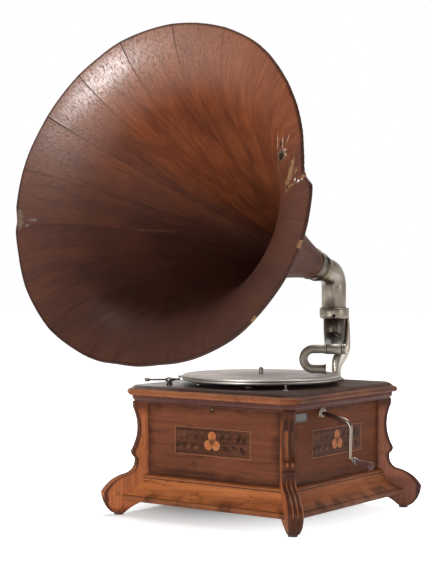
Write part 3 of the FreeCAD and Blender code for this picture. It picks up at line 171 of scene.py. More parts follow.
def skin(name, points, closed=False, along=(1, 0, 0), grain=None, extra=None):
    """A surface over a grid of points, rows by columns, with the last column joined to the first. closed joins the
    last row to the first too, and a row drawn to one point is a pole. The corners carry the wood's own coordinates,
    along the grain first, and the points carry how sharply the surface turns: out above zero, in below it."""
    rows, columns = points.shape[:2]
    pole = np.ptp(points, axis=1).max(axis=1) < 1e-7
    ids = np.arange(rows * columns).reshape(rows, columns)
    ids[pole] = ids[pole][:, :1]
    row, column = (part.ravel() for part in np.meshgrid(
        np.arange(rows - (not closed)), np.arange(columns), indexing="ij"))
    step = np.array([(0, 0), (1, 0), (1, 1), (0, 1)])
    near_row = row[:, None] + step[:, 0]
    near_column = column[:, None] + step[:, 1]
    quads = ids[near_row % rows, near_column % columns]
    places = near_row * (columns + 1) + near_column
    flat = points.reshape(-1, 3)
    one, two, three, four = (flat[quads[:, item]] - flat.mean(0) for item in range(4))
    outward = 1 if (one * np.cross(two, three)).sum() + (one * np.cross(three, four)).sum() > 0 else -1
    first, last = quads[:, 0] == quads[:, 3], quads[:, 1] == quads[:, 2]
    sets = [(quads[keep][:, corners][:, ::outward], places[keep][:, corners][:, ::outward])
            for keep, corners in ((~(first | last), [0, 1, 2, 3]), (first, [0, 1, 2]), (last, [0, 1, 3]))]
    used, faces = np.unique(np.concatenate([item[0].ravel() for item in sets]), return_inverse=True)
    faces = np.split(faces, np.cumsum([item[0].size for item in sets])[:-1])
    listed = [part for group, item in zip(faces, sets) for part in group.reshape(item[0].shape).tolist()]
    mesh = bpy.data.meshes.new(name)
    mesh.from_pydata(flat[used].tolist(), [], listed)

    if grain is None:
        along = np.asarray(along, float) / np.linalg.norm(along)
        aside = np.cross(UP if abs(along[2]) < 0.9 else (1, 0, 0), along)
        aside /= np.linalg.norm(aside)
        grain = points @ np.stack([along, aside, np.cross(along, aside)], 1)
    corner_places = np.concatenate([item[1].ravel() for item in sets])
    for key, values in {"grain": grain, **(extra or {})}.items():
        values = values if np.ndim(values) == 3 else np.broadcast_to(values, (rows, columns))[..., None]
        values = np.pad(values, [(0, 1), (0, 1), (0, 0)], mode="wrap").reshape(-1, values.shape[2])[corner_places]
        kind, word = ("FLOAT_VECTOR", "vector") if values.shape[1] == 3 else ("FLOAT", "value")
        mesh.attributes.new(key, kind, "CORNER").data.foreach_set(word, values.ravel())

    steps = [[np.roll(points, way, axis) - points for way in (-1, 1)] for axis in (0, 1)]
    normal = np.cross(steps[0][0] - steps[0][1], steps[1][0] - steps[1][1])
    normal *= outward / np.maximum(np.linalg.norm(normal, axis=2, keepdims=True), 1e-12)
    turning = np.zeros((rows, columns))
    for axis, pair in enumerate(steps):
        sizes = [np.maximum(np.linalg.norm(part, axis=2, keepdims=True), 1e-5) for part in pair]
        bend = -((pair[0] / sizes[0] + pair[1] / sizes[1]) * normal).sum(2)
        bend /= np.maximum((sizes[0] + sizes[1])[..., 0] / 2, 2e-4)
        if axis == 0 and not closed:
            bend[[0, -1]] = 0
        turning += bend
    turning = np.where(pole[:, None], 0, turning) * SHARP_RADIUS
    turning = np.clip(np.sign(turning) * np.maximum(np.abs(turning) - FLAT_BELOW, 0), -1, 1)
    mesh.attributes.new("edge", "FLOAT", "POINT").data.foreach_set("value", turning.ravel()[used])
    mesh.shade_smooth()
    mesh.update()
    made = bpy.data.objects.new(name, mesh)
    scene.collection.objects.link(made)
    return made


def fit(name, points, material, body, slot, *stood_for, **form):
    """One piece: a skin over points in millimetres of the case, in one material, hung on its body, with the CAD nodes
    that it stands for hidden. The finish slot is not used."""
    made = skin(name, at(points), **form)
    made.data.materials.append(material)
    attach(made, body)
    if stood_for:
        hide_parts(*stood_for)


def plus(one, other):
    """The sum of two values."""
    return math("ADD", one, other)


def mixed(share, one, other, blend="MIX"):
    """Two colours mixed by a share, each a socket or a plain colour."""
    return add("Mix", {0: share, 6: one, 7: other}, out=2, data_type="RGBA", blend_type=blend)


def tinted(colour, tint):
    """A colour multiplied by a tint."""
    return mixed(1.0, colour, tint, "MULTIPLY")


def stretched_noise(vector, stretch, detail=2.0, distortion=0.0):
    """Noise over coordinates in metres, with its own count of features per metre on each axis."""
    spread = add("VectorMath", {0: vector, 1: stretch}, operation="MULTIPLY")
    return add("TexNoise", {"Vector": spread, "Scale": 1.0, "Detail": detail, "Distortion": distortion})


def new_group(name, **inputs):
    """An empty node group that takes named sockets and gives a colour, a roughness and a height."""
    tree = bpy.data.node_groups.new(name, "ShaderNodeTree")
    for word, kind in inputs.items():
        tree.interface.new_socket(word, in_out="INPUT", socket_type="NodeSocket" + kind)
    for word, kind in (("Color", "Color"), ("Roughness", "Float"), ("Height", "Float")):
        tree.interface.new_socket(word, in_out="OUTPUT", socket_type="NodeSocket" + kind)
    return tree, tree.nodes.new("NodeGroupInput").outputs, tree.nodes.new("NodeGroupOutput").inputs


# figure of a sawn wood: broad bands and fine fibres stretched along the grain, short open pores, cloudy patches
figure, given, out = new_group(
    "wood_figure", Grain="Vector", Dark="Color", Mid="Color", Light="Color", Bands="Float", Edge="Float",
    Stain="Float", Contrast="Float", Dirt="Float")
wide = add("CombineXYZ", {0: 2.6, 1: given["Bands"], 2: given["Bands"]})
broad = stretched_noise(given["Grain"], wide, 3.0, 0.7)
streak = stretched_noise(given["Grain"], (8, 170, 170), 3.0)
fibre = stretched_noise(given["Grain"], (22, 620, 620), 2.0)
pore = stretched_noise(given["Grain"], (70, 1700, 1700), 1.0)
cloud = stretched_noise(given["Grain"], (7, 15, 15), 3.0)
scuff = stretched_noise(given["Grain"], (60, 90, 90), 3.0)
tone = plus(plus(times(broad, 0.30), times(streak, 0.40)), times(fibre, 0.30))
tone = plus(times(math("SUBTRACT", tone, 0.5), given["Contrast"]), 0.5)
wood = mixed(ranged(tone, 0.34, 0.50), given["Dark"], given["Mid"])
wood = mixed(ranged(tone, 0.49, 0.66), wood, given["Light"])
open_pore = ranged(pore, 0.60, 0.74, 0.0, 0.5)
wood = mixed(open_pore, wood, given["Dark"])
wood = mixed(ranged(cloud, 0.48, 0.74, 0.0, 0.55), wood, given["Dark"])
rubbed = times(ranged(given["Edge"], 0.05, 0.6), ranged(scuff, 0.38, 0.6))
wood = mixed(times(rubbed, 0.75), wood, given["Light"])
in_corners = times(ranged(given["Edge"], -0.02, -0.4), given["Dirt"])
wood = mixed(in_corners, wood, (0.012, 0.006, 0.004, 1))
# the stain mask darkens the wood to a tint; on some pieces it also holds painted light and shade
wood = mixed(given["Stain"], wood, tinted(wood, (0.16, 0.145, 0.175, 1)))
satin = plus(ranged(cloud, 0.3, 0.7, 0.30, 0.46), times(open_pore, 0.3))
plug(figure, out, {"Color": wood, "Roughness": satin, "Height": math("SUBTRACT", times(fibre, 0.5), open_pore)})


def shade(name):
    """A new material with a Principled shader on its output."""
    made = bpy.data.materials.new(name)
    made.use_nodes = True
    made.node_tree.nodes.clear()
    surface = made.node_tree.nodes.new("ShaderNodeBsdfPrincipled")
    add("OutputMaterial", {0: surface.outputs[0]}, out=None)
    return made, made.node_tree, surface.inputs


def read(tree, key, out="Fac"):
    """An attribute of the mesh, as a number or a vector."""
    return add("Attribute", tree=tree, out=out, attribute_name=key)


def place(tree):
    """The place on a piece, in metres of the frame."""
    return add("TexCoord", tree=tree, out="Object")


def bump(height, strength, depth):
    """The normal of a surface with bumps of a depth in metres."""
    return add("Bump", {"Strength": strength, "Distance": depth, "Height": height})


def timber(name, dark, mid, light, bands=42.0, turn=None, coat=0.0, stain_and_painted_light=None, polish=0.22, matt=0.08, contrast=0.8,
           dust_and_sheen=None, dirt=0.85, specks=0.0):
    """French-polished wood. A carved piece brings its own grain and edges, a plain board takes Object coordinates
    turned so that their x runs along its grain. stain masks its dark places, which on some pieces hold painted shade
    and painted light as well, and dust its bloomed polish, whose pale colour is partly a painted sheen; both are
    functions of the node tree. polish is the level of its reflections, matt is added to its roughness, contrast is
    that of its figure, dirt that of its corners, and specks is how dark its spots of dirt are."""
    made, tree, surface = shade(name)
    values = {"Dark": (*dark, 1), "Mid": (*mid, 1), "Light": (*light, 1), "Bands": bands, "Contrast": contrast,
              "Dirt": dirt}
    if turn is None:
        values.update(Grain=read(tree, "grain", "Vector"), Edge=read(tree, "edge"), Stain=read(tree, "stain_and_painted_light"))
        if specks:
            spotted = stretched_noise(values["Grain"], (55, 120, 120), 4.0, 0.7)
            values["Stain"] = math("MAXIMUM", values["Stain"], ranged(spotted, 0.58, 0.70, 0.0, specks))
    else:
        values["Grain"] = add("Mapping", {"Vector": place(tree), "Rotation": np.radians(turn)})
    if stain_and_painted_light:
        values["Stain"] = stain_and_painted_light(tree)
    grown = add("Group", values, tree, None, node_tree=figure)
    colour = grown["Color"]
    if dust_and_sheen:
        # the mask weights the coat and pales the colour: bloom of dust, and a painted sheen
        coat = dust_and_sheen(tree)
        colour = mixed(times(coat, 0.25), colour, (0.42, 0.35, 0.32, 1))
    plug(tree, surface, {"Base Color": colour, "Roughness": plus(grown["Roughness"], matt),
                         "Normal": bump(grown["Height"], 0.25, 0.0004), "Specular IOR Level": polish,
                         "Coat Weight": coat, "Coat Roughness": 0.22})
    return made


def bowed(start, finish, rise, count=14):
    """Points on a shallow arc from start up to, not onto, finish: the chord plus a parabola to its left."""
    share = np.linspace(0, 1, count, endpoint=False)[:, None]
    start, finish = np.asarray(start, float), np.asarray(finish, float)
    chord = finish - start
    left = np.array([-chord[1], chord[0]]) / np.linalg.norm(chord)
    return start + chord * share + left * rise * 4 * share * (1 - share)


def capped(rows):
    """Rows of points with a pole at each end, at the mean of the first row and of the last."""
    poles = [0 * row + row.mean(1, keepdims=True) for row in (rows[:1], rows[-1:])]
    return np.concatenate([poles[0], rows, poles[1]])


def spun(points, heading):
    """Points turned about the upright axis by a heading in degrees."""
    turn = np.radians(heading)
    x, y, z = np.moveaxis(points, -1, 0)
    return np.stack([x * np.cos(turn) - y * np.sin(turn), x * np.sin(turn) + y * np.cos(turn), z], -1)


LEG_TOP, LEG_FOOT, LEG_BACK, LEG_EDGE, ARCH = 178.7, 3.0, 168.0, 2.6, 24
FLUTE_HIGH, FLUTE_LOW, FLUTE_HALF, FLUTE_ASIDE, KNOB = 164, 110, 2.9, 4.1, 99.5
front_line = np.concatenate([
    [(210.1, LEG_TOP)], bowed((210.1, 170), (210.1, 105), -7.5), bowed((210.1, 105), (207.5, 90), 4.2),
    bowed((207.5, 90), (222, 64), -5.8), bowed((222, 64), (260.4, 36), 5.1), bowed((260.4, 36), (246, 5.7), 3.5, 20),
    [(246, 5.7), (240.5, LEG_FOOT)]])
under_line = np.concatenate([bowed((172, ARCH), (224.7, LEG_FOOT), 6.0), [(224.7, LEG_FOOT)]])
half_line = np.array([(9.0, LEG_TOP), (10.3, 105), (10.3, 64), (10.6, 50), (11.2, 36), (11.2, 26), (10.6, 14),
                      (8.0, LEG_FOOT)])


def leg_points(shaded):
    """A leg as level slices: each runs from the back line to the front line. Two flutes with round ends are hollowed
    in the neck's front, the bead below is parted in two knobs, and three half-round reeds run down the foot. The
    dark mask is dark on the front and along the joint with the panel, and darker under the frieze and near the floor.
    It also holds painted light and shade: flutes paler, the left one most, partly worn and partly painted light, a
    painted highlight on each reed's ridge, painted shade in the hollow under the bead, and painted shade over the low
    flanks of a leg that stands in shade."""
    tall = np.unique(np.concatenate([np.linspace(LEG_TOP, LEG_FOOT, 130), np.linspace(112, 84, 30),
                                     np.linspace(40, 3, 40), [ARCH + 0.01, ARCH - 0.01]]))[::-1, None]
    reach, under, half = (np.interp(-tall, -line[:, 1], line[:, 0]) for line in (front_line, under_line, half_line))
    back = np.where(tall > ARCH, LEG_BACK, under)
    share = np.sin(np.linspace(-np.pi / 2, np.pi / 2, 61))
    aside = half * share
    over = np.maximum(np.abs(aside) - (half - LEG_EDGE), 0)
    sunk = LEG_EDGE - np.sqrt(np.maximum(LEG_EDGE ** 2 - over ** 2, 0))
    past = np.maximum(tall - FLUTE_HIGH, 0) + np.maximum(FLUTE_LOW - tall, 0)
    flute = 0.72 * np.sqrt(np.maximum(FLUTE_HALF ** 2 - (np.abs(aside) - FLUTE_ASIDE) ** 2 - past ** 2, 0))
    parting = np.exp(-((tall - KNOB) / 4.0) ** 4) * 1.3 * np.exp(-(aside / 1.1) ** 2)
    across = (share + 1) * 1.5 % 1
    reed = np.interp(tall, [4, 12, 60, 78, 88], [0, 1.5, 2.1, 1.7, 0]) * (1 - np.sqrt(1 - (2 * across - 1) ** 2))
    front = reach - sunk - flute - parting - reed
    side = np.concatenate([[0.05, 0.09], np.linspace(0, 1, 9)[1:]])
    flank = (reach - LEG_EDGE) * (1 - side) + back * side
    x = np.concatenate([front, flank, flank[:, ::-1]], 1)
    y = np.concatenate([aside, half + 0 * flank, -half + 0 * flank], 1)

    # flutes paler below 152 mm, the left one most: partly wear, partly painted light from the front left
    lit = np.clip(flute, 0, 1) * np.clip((152 - tall) / 4, 0, 1) * np.where(aside < 0, 1.0, 0.25)
    dots = np.exp(-((tall - 101) / 3.0) ** 4) * np.exp(-((np.abs(aside) - 4.2) / 2.0) ** 2)
    # a painted highlight along each reed's ridge
    glint_and_wear = np.clip((across - 0.5) * 3, 0, 1) * np.clip((80 - tall) / 6, 0, 1) * np.clip((tall - 26) / 8, 0, 1)
    dark_front = 1.04 * (0.92 - 0.92 * lit) * (1 - 0.97 * dots) - 0.68 * glint_and_wear
    # painted shade in the hollow under the bead
    dark_front = np.maximum(dark_front, np.exp(-((tall - 88.5) / 5.0) ** 4))
    joint = np.clip((189.5 - flank) / 4, 0, 0.7) * (tall > 56)
    at_rim = 0.95 * np.clip((0.11 - side) / 0.05, 0, 1)
    # darker under the frieze and near the floor, and painted shade over the low flanks of a leg in shade
    by_height = np.maximum.reduce([np.clip((tall - 156) / 18, 0, 0.8), np.clip((12 - tall) / 8, 0, 0.6),
                                   shaded * 0.5 * np.clip((56 - tall) / 10, 0, 1)])
    dark_flank = np.maximum(np.maximum(joint, at_rim), by_height)
    stain_and_painted_light = np.concatenate([dark_front, dark_flank, dark_flank[:, ::-1]], 1)
    return capped(np.stack([x, y, tall + 0 * x], 2)), np.concatenate([stain_and_painted_light[:1], stain_and_painted_light, stain_and_painted_light[-1:]])


leg_wood = timber("leg_walnut", (0.30, 0.084, 0.032), (0.62, 0.190, 0.064), (0.78, 0.280, 0.100), 40, contrast=0.85,
                  dirt=0.45, specks=0.6)
# a darker, greyer copy of the leg walnut for the far right leg: painted shade, as that leg stands in shade
shaded_leg_wood = timber("shaded_leg_walnut", (0.21, 0.075, 0.047), (0.44, 0.160, 0.092), (0.56, 0.220, 0.130), 40,
                      contrast=0.75, dirt=0.3, specks=0.35)
for order, corner in enumerate(("front_right", "back_right", "back_left", "front_left")):
    far = corner == "back_right"
    spots, dark = leg_points(far)
    dark = np.clip(dark + 0.14, 0, 1) if corner == "front_right" else dark
    fit("scroll_leg_" + corner, spun(spots, order * 90 - 45), shaded_leg_wood if far else leg_wood, "case", "case_wood",
        "leg_" + corner, grain=spots[..., ::-1] * MM + order * np.array([0.7, 0.31, 0.17]), extra={"stain_and_painted_light": dark})

# Bottom board and glides: a plain softwood board in the floor of the case, and four pressed iron glides.
# The board is glued inside the mouldings, the glides are nailed under the feet. Both keep their solids.
aged, given, out = new_group("metal_age", Spot="Vector", Bright="Color", Dull="Color", Edge="Float", Pits="Float")
bloom = stretched_noise(given["Spot"], (13, 13, 20), 3.0, 0.4)
speck = stretched_noise(given["Spot"], (420, 420, 420), 2.0)
scratch = stretched_noise(given["Spot"], (900, 160, 500), 2.0)
face = mixed(ranged(bloom, 0.42, 0.66), given["Bright"], given["Dull"])
pitted = times(ranged(speck, 0.66, 0.78), given["Pits"])
face = mixed(pitted, face, (0.06, 0.040, 0.026, 1))
face = mixed(times(ranged(given["Edge"], -0.03, -0.45), 0.85), face, (0.035, 0.024, 0.016, 1))
sheen = plus(ranged(bloom, 0.35, 0.7, 0.31, 0.42), ranged(scratch, 0.4, 0.7, -0.03, 0.04))
plug(aged, out, {"Color": face, "Roughness": plus(sheen, times(pitted, 0.25)),
                 "Height": math("SUBTRACT", times(scratch, 0.12), pitted)})


def metal(name, bright, dull, carved=True, rough=0.0, pits=0.45):
    """Old plated or bare metal: bright where handled, dull and specked with pits elsewhere, dirty in its corners."""
    made, tree, surface = shade(name)
    values = {"Spot": place(tree), "Bright": (*bright, 1), "Dull": (*dull, 1), "Pits": pits}
    if carved:
        values["Edge"] = read(tree, "edge")
    grown = add("Group", values, tree, None, node_tree=aged)
    plug(tree, surface, {"Base Color": grown["Color"], "Roughness": plus(grown["Roughness"], rough), "Metallic": 1.0,
                         "Normal": bump(grown["Height"], 0.03, 0.0002)})
    return made


def wear(node, material):
    """Gives a CAD node that shows as it is its one material."""
    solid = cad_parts[node].data
    solid.materials.clear()
    solid.materials.append(material)


iron = metal("grey_iron", (0.12, 0.11, 0.10), (0.055, 0.045, 0.038), False, 0.2)
wear("foot_glides", iron)
wear("bottom_board", timber("bottom_softwood", (0.05, 0.028, 0.016), (0.14, 0.080, 0.045), (0.22, 0.13, 0.075), 30,
                            (0, 0, 0)))

# Side panels: four walnut planks in a dull polish, with dirt and painted shade at their borders, glued between the
# legs.
# The right one is bored for the winding shaft. They keep their solids, and the grain runs along each side.
PANEL_FACE, PANEL_LOW, PANEL_HALF = 139.0, 65.0, 125.0
SIDES = {"front": 0, "right": 90, "back": 180, "left": 270}


def border_grime_and_shade(tree, axis):
    """Dirt and painted shade on a panel that lies along an axis: full at the nearest border, by the legs, frieze and
    moulding, gone 16 mm in, with the distance roughened by noise, and some spilt spots of dirt."""
    spot = place(tree)
    parts = add("SeparateXYZ", {0: spot}, out=None)
    along = math("ABSOLUTE", math("SUBTRACT", parts[axis], float(middle[axis])))
    side = math("SUBTRACT", PANEL_HALF * MM, along)
    low = math("SUBTRACT", parts[2], PANEL_LOW * MM)
    high = math("SUBTRACT", LEG_TOP * MM, parts[2])
    near = math("MINIMUM", math("MINIMUM", side, low), high)
    ragged = stretched_noise(spot, (38, 38, 70), 4.0)
    near = plus(near, times(math("SUBTRACT", ragged, 0.5), 0.03))
    spilt = ranged(stretched_noise(spot, (16, 16, 42), 3.0, 0.8), 0.60, 0.72, 0.0, 0.55)
    return math("MAXIMUM", ranged(near, 0.016, -0.004, 0.0, 0.85), spilt)


panel_tones = np.array([(0.095, 0.030, 0.016), (0.205, 0.066, 0.031), (0.285, 0.098, 0.042)])
for side, heading in SIDES.items():
    axis = heading // 90 % 2
    # the right panel is darker and warmer: painted shade, as that side stands in shade, and grime
    tones = panel_tones * ((0.83, 0.66, 0.40) if side == "right" else 1.0)
    wear("panel_" + side, timber("panel_walnut_" + side, *tones, 22, (0, 0, 90 * axis), polish=0.10,
                                 stain_and_painted_light=lambda tree: border_grime_and_shade(tree, axis)))

# Inlays: a dark veneer field framed by a light line, with a sand-shaded trefoil and two sprays of leaves, let into
# the front and both side panels. Each bit of veneer is its own thin piece, glued flush.
INLAY_HALVES, INLAY_CENTRE = np.array([71.0, 21.0]), np.array([0, 122.5])
veneer_field = timber("veneer_field", (0.036, 0.013, 0.008), (0.105, 0.038, 0.019), (0.180, 0.068, 0.033), 70,
                      polish=0.1, contrast=1.0)
veneer_line = timber("veneer_line", (0.16, 0.052, 0.024), (0.34, 0.125, 0.058), (0.46, 0.19, 0.09), 60)
veneer_leaf = timber("veneer_leaf", (0.060, 0.022, 0.012), (0.150, 0.056, 0.028), (0.26, 0.105, 0.052), 160,
                     polish=0.1, contrast=1.1)
veneer_petal = timber("veneer_petal", (0.36, 0.098, 0.028), (0.60, 0.190, 0.058), (0.74, 0.290, 0.100), 150,
                      contrast=0.6)


def on_wall(side, across, up, out):
    """Points of a side's face, from the distance across, the height and how far they stand out."""
    return spun(np.stack(np.broadcast_arrays(across, -PANEL_FACE - out, up), -1), SIDES[side])


def veneer(name, side, outline, hub, lift, lay, material, dark=None, reach=1.0):
    """A leaf of veneer: its outline drawn in to a hub in rings, flat on top, its edge sunk in the panel. The grain
    lies at the angle lay, and the shading is full at the spot named dark and gone at the reach from it."""
    share = np.array([0, 0.3, 0.6, 0.85, 0.97, 1.0, 1.0, 0.0])[:, None]
    height = np.array([lift, lift, lift, lift, lift, lift - 0.1, -0.4, -0.4])[:, None]
    across = hub[0] + (outline[:, 0] - hub[0]) * share
    up = hub[1] + (outline[:, 1] - hub[1]) * share
    turn = np.radians(lay)
    grain = np.stack([across * np.cos(turn) + up * np.sin(turn), up * np.cos(turn) - across * np.sin(turn), 0 * up], 2)
    mask = 0 if dark is None else np.clip(1 - np.hypot(across - dark[0], up - dark[1]) / reach, 0, 1)
    fit(name, on_wall(side, across, up, height), material, "case", "case_wood",
        grain=grain * MM + lay * 0.013, extra={"stain_and_painted_light": mask})


def compass(heading):
    """A level unit vector at a heading in degrees from the x axis."""
    return np.array([np.cos(np.radians(heading)), np.sin(np.radians(heading)), 0])


def petal(length, half, heading, foot, full=0.30):
    """A petal's outline: an oval from its foot, fuller towards its outer end and turned to its heading."""
    turn = np.linspace(0, 2 * np.pi, 40, endpoint=False)[:, None]
    along = length / 2 * (1 - np.cos(turn))
    aside = half * np.sin(turn) * (1 - full * np.cos(turn))
    return foot + along * compass(heading)[:2] + aside * compass(heading + 90)[:2]


around_frame = np.linspace(0, 2 * np.pi, 96, endpoint=False)
square = np.stack([np.cos(around_frame), np.sin(around_frame)], 1)
square /= np.abs(square).max(1, keepdims=True)
corner = np.array([(-1, -1), (1, -1), (1, 1), (-1, 1)])
stringing = np.array([(0.55, -0.4), (0.55, 0.2), (-0.55, 0.2), (-0.55, -0.4)])
sprays = ((19, 9, 120), (27, -8, 200), (33, 9, 128), (42, -7, 215), (50, 8, 118), (60, 6, 112), (57, -9, 230))
frame_line = corner[:, None] * (INLAY_HALVES + stringing[:, :1]) + INLAY_CENTRE
heart = INLAY_CENTRE + (0, 0.4)
for side in ("front", "right", "left"):
    veneer("inlay_field_" + side, side, square * INLAY_HALVES + INLAY_CENTRE, INLAY_CENTRE, 0.12, 0, veneer_field)
    fit("inlay_line_" + side, on_wall(side, frame_line[..., 0], frame_line[..., 1], stringing[:, 1]), veneer_line,
        "case", "case_wood", closed=True)
    for order, heading in enumerate((90, 214, 326)):
        leaf = petal(15.6, 7.4, heading, heart + 0.5 * compass(heading)[:2], 0.10)
        veneer("inlay_petal_%s_%d" % (side, order), side, leaf, leaf.mean(0), 0.24 + 0.02 * order, heading,
               veneer_petal, heart, 7.5)
    for order, heading in enumerate((28, 152, 270)):
        vein = petal(8.0, 0.5, heading, heart, 0.0)
        veneer("inlay_vein_%s_%d" % (side, order), side, vein, vein.mean(0), 0.32 + 0.02 * order, heading,
               veneer_field, heart, 30)
    for order, (away, lift, heading) in enumerate(sprays):
        for hand, lay, reach in ((-1, heading, 9), (1, 180 - heading, 22)):
            foot = INLAY_CENTRE + (hand * away, lift) - 6.5 * compass(lay)[:2]
            leaf = petal(15.5, 3.6, lay, foot, 0.25)
            veneer("inlay_leaf_%s_%d%s" % (side, order, "r" if hand > 0 else "l"), side, leaf, leaf.mean(0),
                   0.15 + 0.012 * order, lay, veneer_leaf, foot, reach)

# Base mouldings: four lengths of lighter walnut with a broad cove, a quirk above it and a thin dark toe below,
# run with a plane and glued under the panels between the legs.
MITRE_GAP = 12
cove = np.concatenate([
    [(129, 65), (129, 24), (169.4, 24), (170, 24.8), (170, 31.0), (169.2, 31.8), (167.8, 32.4)],
    bowed((167.4, 33.2), (146.0, 57.6), 3.4, 18),
    [(146.0, 57.6), (145.2, 58.8), (145.8, 59.8), (146.1, 61.2), (145.2, 62.6), (143.0, 63.6), (141.8, 64.6)]])
skirt_wood = timber("skirt_walnut", (0.27, 0.080, 0.029), (0.65, 0.205, 0.066), (0.80, 0.290, 0.098), 30, specks=0.7)
along = np.linspace(-1, 1, 62)[:, None] * (cove[:, 0] - MITRE_GAP)
moulding = capped(np.stack([along, -cove[:, 0] + 0 * along, cove[:, 1] + 0 * along], 2))
toe = np.interp(cove[:, 1], [24, 32.0, 33.4, 57, 58.4, 65], [0.8, 0.75, 0.0, 0.0, 0.6, 0.75])
ends = np.abs(np.linspace(-1, 1, 64))[:, None] ** 4
rng = np.random.default_rng(3)
for order, side in enumerate(SIDES):
    glint_and_wear = np.convolve(rng.uniform(0, 1, 68), (0.2, 0.3, 0.3, 0.2, 0), "valid")[:, None]
    darkened = np.clip((glint_and_wear - 0.45) * 4, 0, 1) * np.interp(cove[:, 1], [30, 44], [1, 0])
    # the right moulding is darker all along, most at its ends and low on its cove
    if side == "right":
        darkened = darkened + 0.5 * ends + 0.15 * glint_and_wear + 0.25 + 0.4 * np.interp(cove[:, 1], [31, 42], [1, 0])
    darkened = np.maximum(toe * (0.72 if side == "front" else 1.0), darkened)
    fit("base_moulding_" + side, spun(moulding, SIDES[side]), skirt_wood, "case", "case_wood", "skirt_" + side,
        grain=moulding * MM + (order + 1) * np.array([1.3, 0.21, 0.4]), extra={"stain_and_painted_light": np.clip(darkened, 0, 0.9)})

# Frieze: a dark rail round the top of the case with canted corners and a small hollow below, mitred and glued
# over the panels and leg heads.
SIDE_GRAIN, CANT_GRAIN = 733, 391


def canted(half, cant, depth, height, lead=0.6):
    """A profile, by depth in from the face and height, carried round a square with cut corners. Each run between
    corners is divided, with close columns at the mitres, and the cut shrinks as the profile goes in. The grain runs
    round too, with a stretch of its own for each run."""
    inner = half - depth
    cut = np.maximum(cant - depth * (2 - 2 ** 0.5), 0.3)
    long_side, short_side = 2 * (half - cant), cant * 2 ** 0.5
    share = np.unique(np.concatenate([[0, lead / long_side, 1 - lead / long_side], np.linspace(0, 1, 25)[1:-1]]))
    cant_share = np.array([0, lead / short_side, 0.25, 0.5, 0.75, 1 - lead / short_side])
    x = np.concatenate([(2 * share[:, None] - 1) * (inner - cut), inner - cut + cut * cant_share[:, None]])
    y = np.concatenate([-inner + 0 * share[:, None], -inner + cut * cant_share[:, None]])
    one_side = np.stack([x, y, height + 0 * x], 2)
    spots = np.concatenate([spun(one_side, heading) for heading in SIDES.values()]).transpose(1, 0, 2)
    run = np.concatenate([share * long_side, cant_share * short_side + CANT_GRAIN])
    run = np.concatenate([run + quarter * SIDE_GRAIN for quarter in range(4)]) + np.zeros((len(depth), 1))
    return spots, np.stack([run, depth[:, None] + 0 * run, height[:, None] + 0 * run], 2) * MM


frieze_line = np.array([(18, 189.7), (0.6, 189.7), (0, 189.1), (0, 184.2), (0.3, 183.0), (1.2, 181.6), (2.6, 180.9),
                        (3.0, 180.2), (3.4, 178.9), (4.2, LEG_TOP), (18, LEG_TOP)])
frieze_wood = timber("frieze_walnut", (0.050, 0.018, 0.015), (0.145, 0.056, 0.046), (0.22, 0.088, 0.062), 40,
                     polish=0.15)
spots, grain = canted(157.1, 17.1, *frieze_line.T)
fit("frieze_rail", spots, frieze_wood, "case", "case_wood", "frieze_front", "frieze_right", "frieze_back",
    "frieze_left", closed=True, grain=grain)

# Motor: a double-plate spring motor under the top board. Plates and pillars are iron, wheels and barrel brass,
# shafts steel, all held by four bolts through the board. They keep their solids.
brass = metal("motor_brass", (0.55, 0.36, 0.13), (0.30, 0.19, 0.075), False, 0.1)
steel = metal("motor_steel", (0.42, 0.41, 0.40), (0.22, 0.20, 0.18), False, 0.05)
for material, names in (
        (iron, ("motor_top_plate", "motor_bottom_plate", "motor_posts", "motor_pillars")),
        (brass, ("spring_barrel", "great_wheel", "drive_wheel", "governor_wheel", "governor_disc", "governor_weights",
                 "crown_wheel")),
        (steel, ("spindle", "drive_shaft", "governor_shaft", "winding_arbor", "winding_pinion", "motor_bolts"))):
    for name in names:
        wear(name, material)

# Top: a walnut board with a rounded orange nose, a step and a gentle slope up to a dark field that the spindle
# and the motor bolts pass through. It is screwed down on the frieze.
TOP_FACE, TOP_HALF, TOP_CANT, TOP_UNDER, SPINDLE_Y, SPINDLE_HOLE = 204.5, 164.6, 21.5, 190.2, -6.0, 8.0
nose = np.array([(20, 189.7), (4.2, 189.7), (2.0, 190.0), (0.7, 190.8), (0.1, 192.2), (0, 194.0), (0.2, 195.8),
                 (0.9, 197.3), (2.2, 198.3), (3.8, 198.7), (4.9, 198.75), (5.2, 199.2), (5.6, 199.6), (6.2, 199.8),
                 (20, 199.8)])
nose_wood = timber("nose_walnut", (0.13, 0.040, 0.017), (0.33, 0.102, 0.040), (0.46, 0.168, 0.068), 46, polish=0.2,
                   specks=0.55)
spots, grain = canted(TOP_HALF, TOP_CANT, *nose.T)
# the nose is darker along the right side, in blotches: painted shade, as that side stands in shade
blotched = 0.62 + 0.22 * np.sin(grain[..., 0] * 43) * np.sin(grain[..., 0] * 17 + 1)
fit("top_nose", spots, nose_wood, "case", "case_wood", closed=True, grain=grain,
    extra={"stain_and_painted_light": np.clip((spots[..., 0] - 150) / 6, 0, 1) * blotched})

slope = np.array([(18, TOP_UNDER), (5.4, TOP_UNDER), (5.3, 198.6), (5.6, 199.2), (8.0, 201.5), (11.0, 203.8),
                  (12.6, 204.4), (13.4, TOP_FACE), (14.6, TOP_FACE)])
edge_rows, _ = canted(TOP_HALF, TOP_CANT, *slope.T)
share = np.array([0.2, 0.4, 0.6, 0.8, 0.94, 1.0, 1.0])[:, None, None]
turn = np.arctan2(edge_rows[-1, :, 1] - SPINDLE_Y, edge_rows[-1, :, 0])
bore = np.stack([SPINDLE_HOLE * np.cos(turn), SPINDLE_Y + SPINDLE_HOLE * np.sin(turn), TOP_FACE + 0 * turn], 1)
field_rows = edge_rows[-1] * (1 - share) + bore * share
field_rows[-1, :, 2] = TOP_UNDER


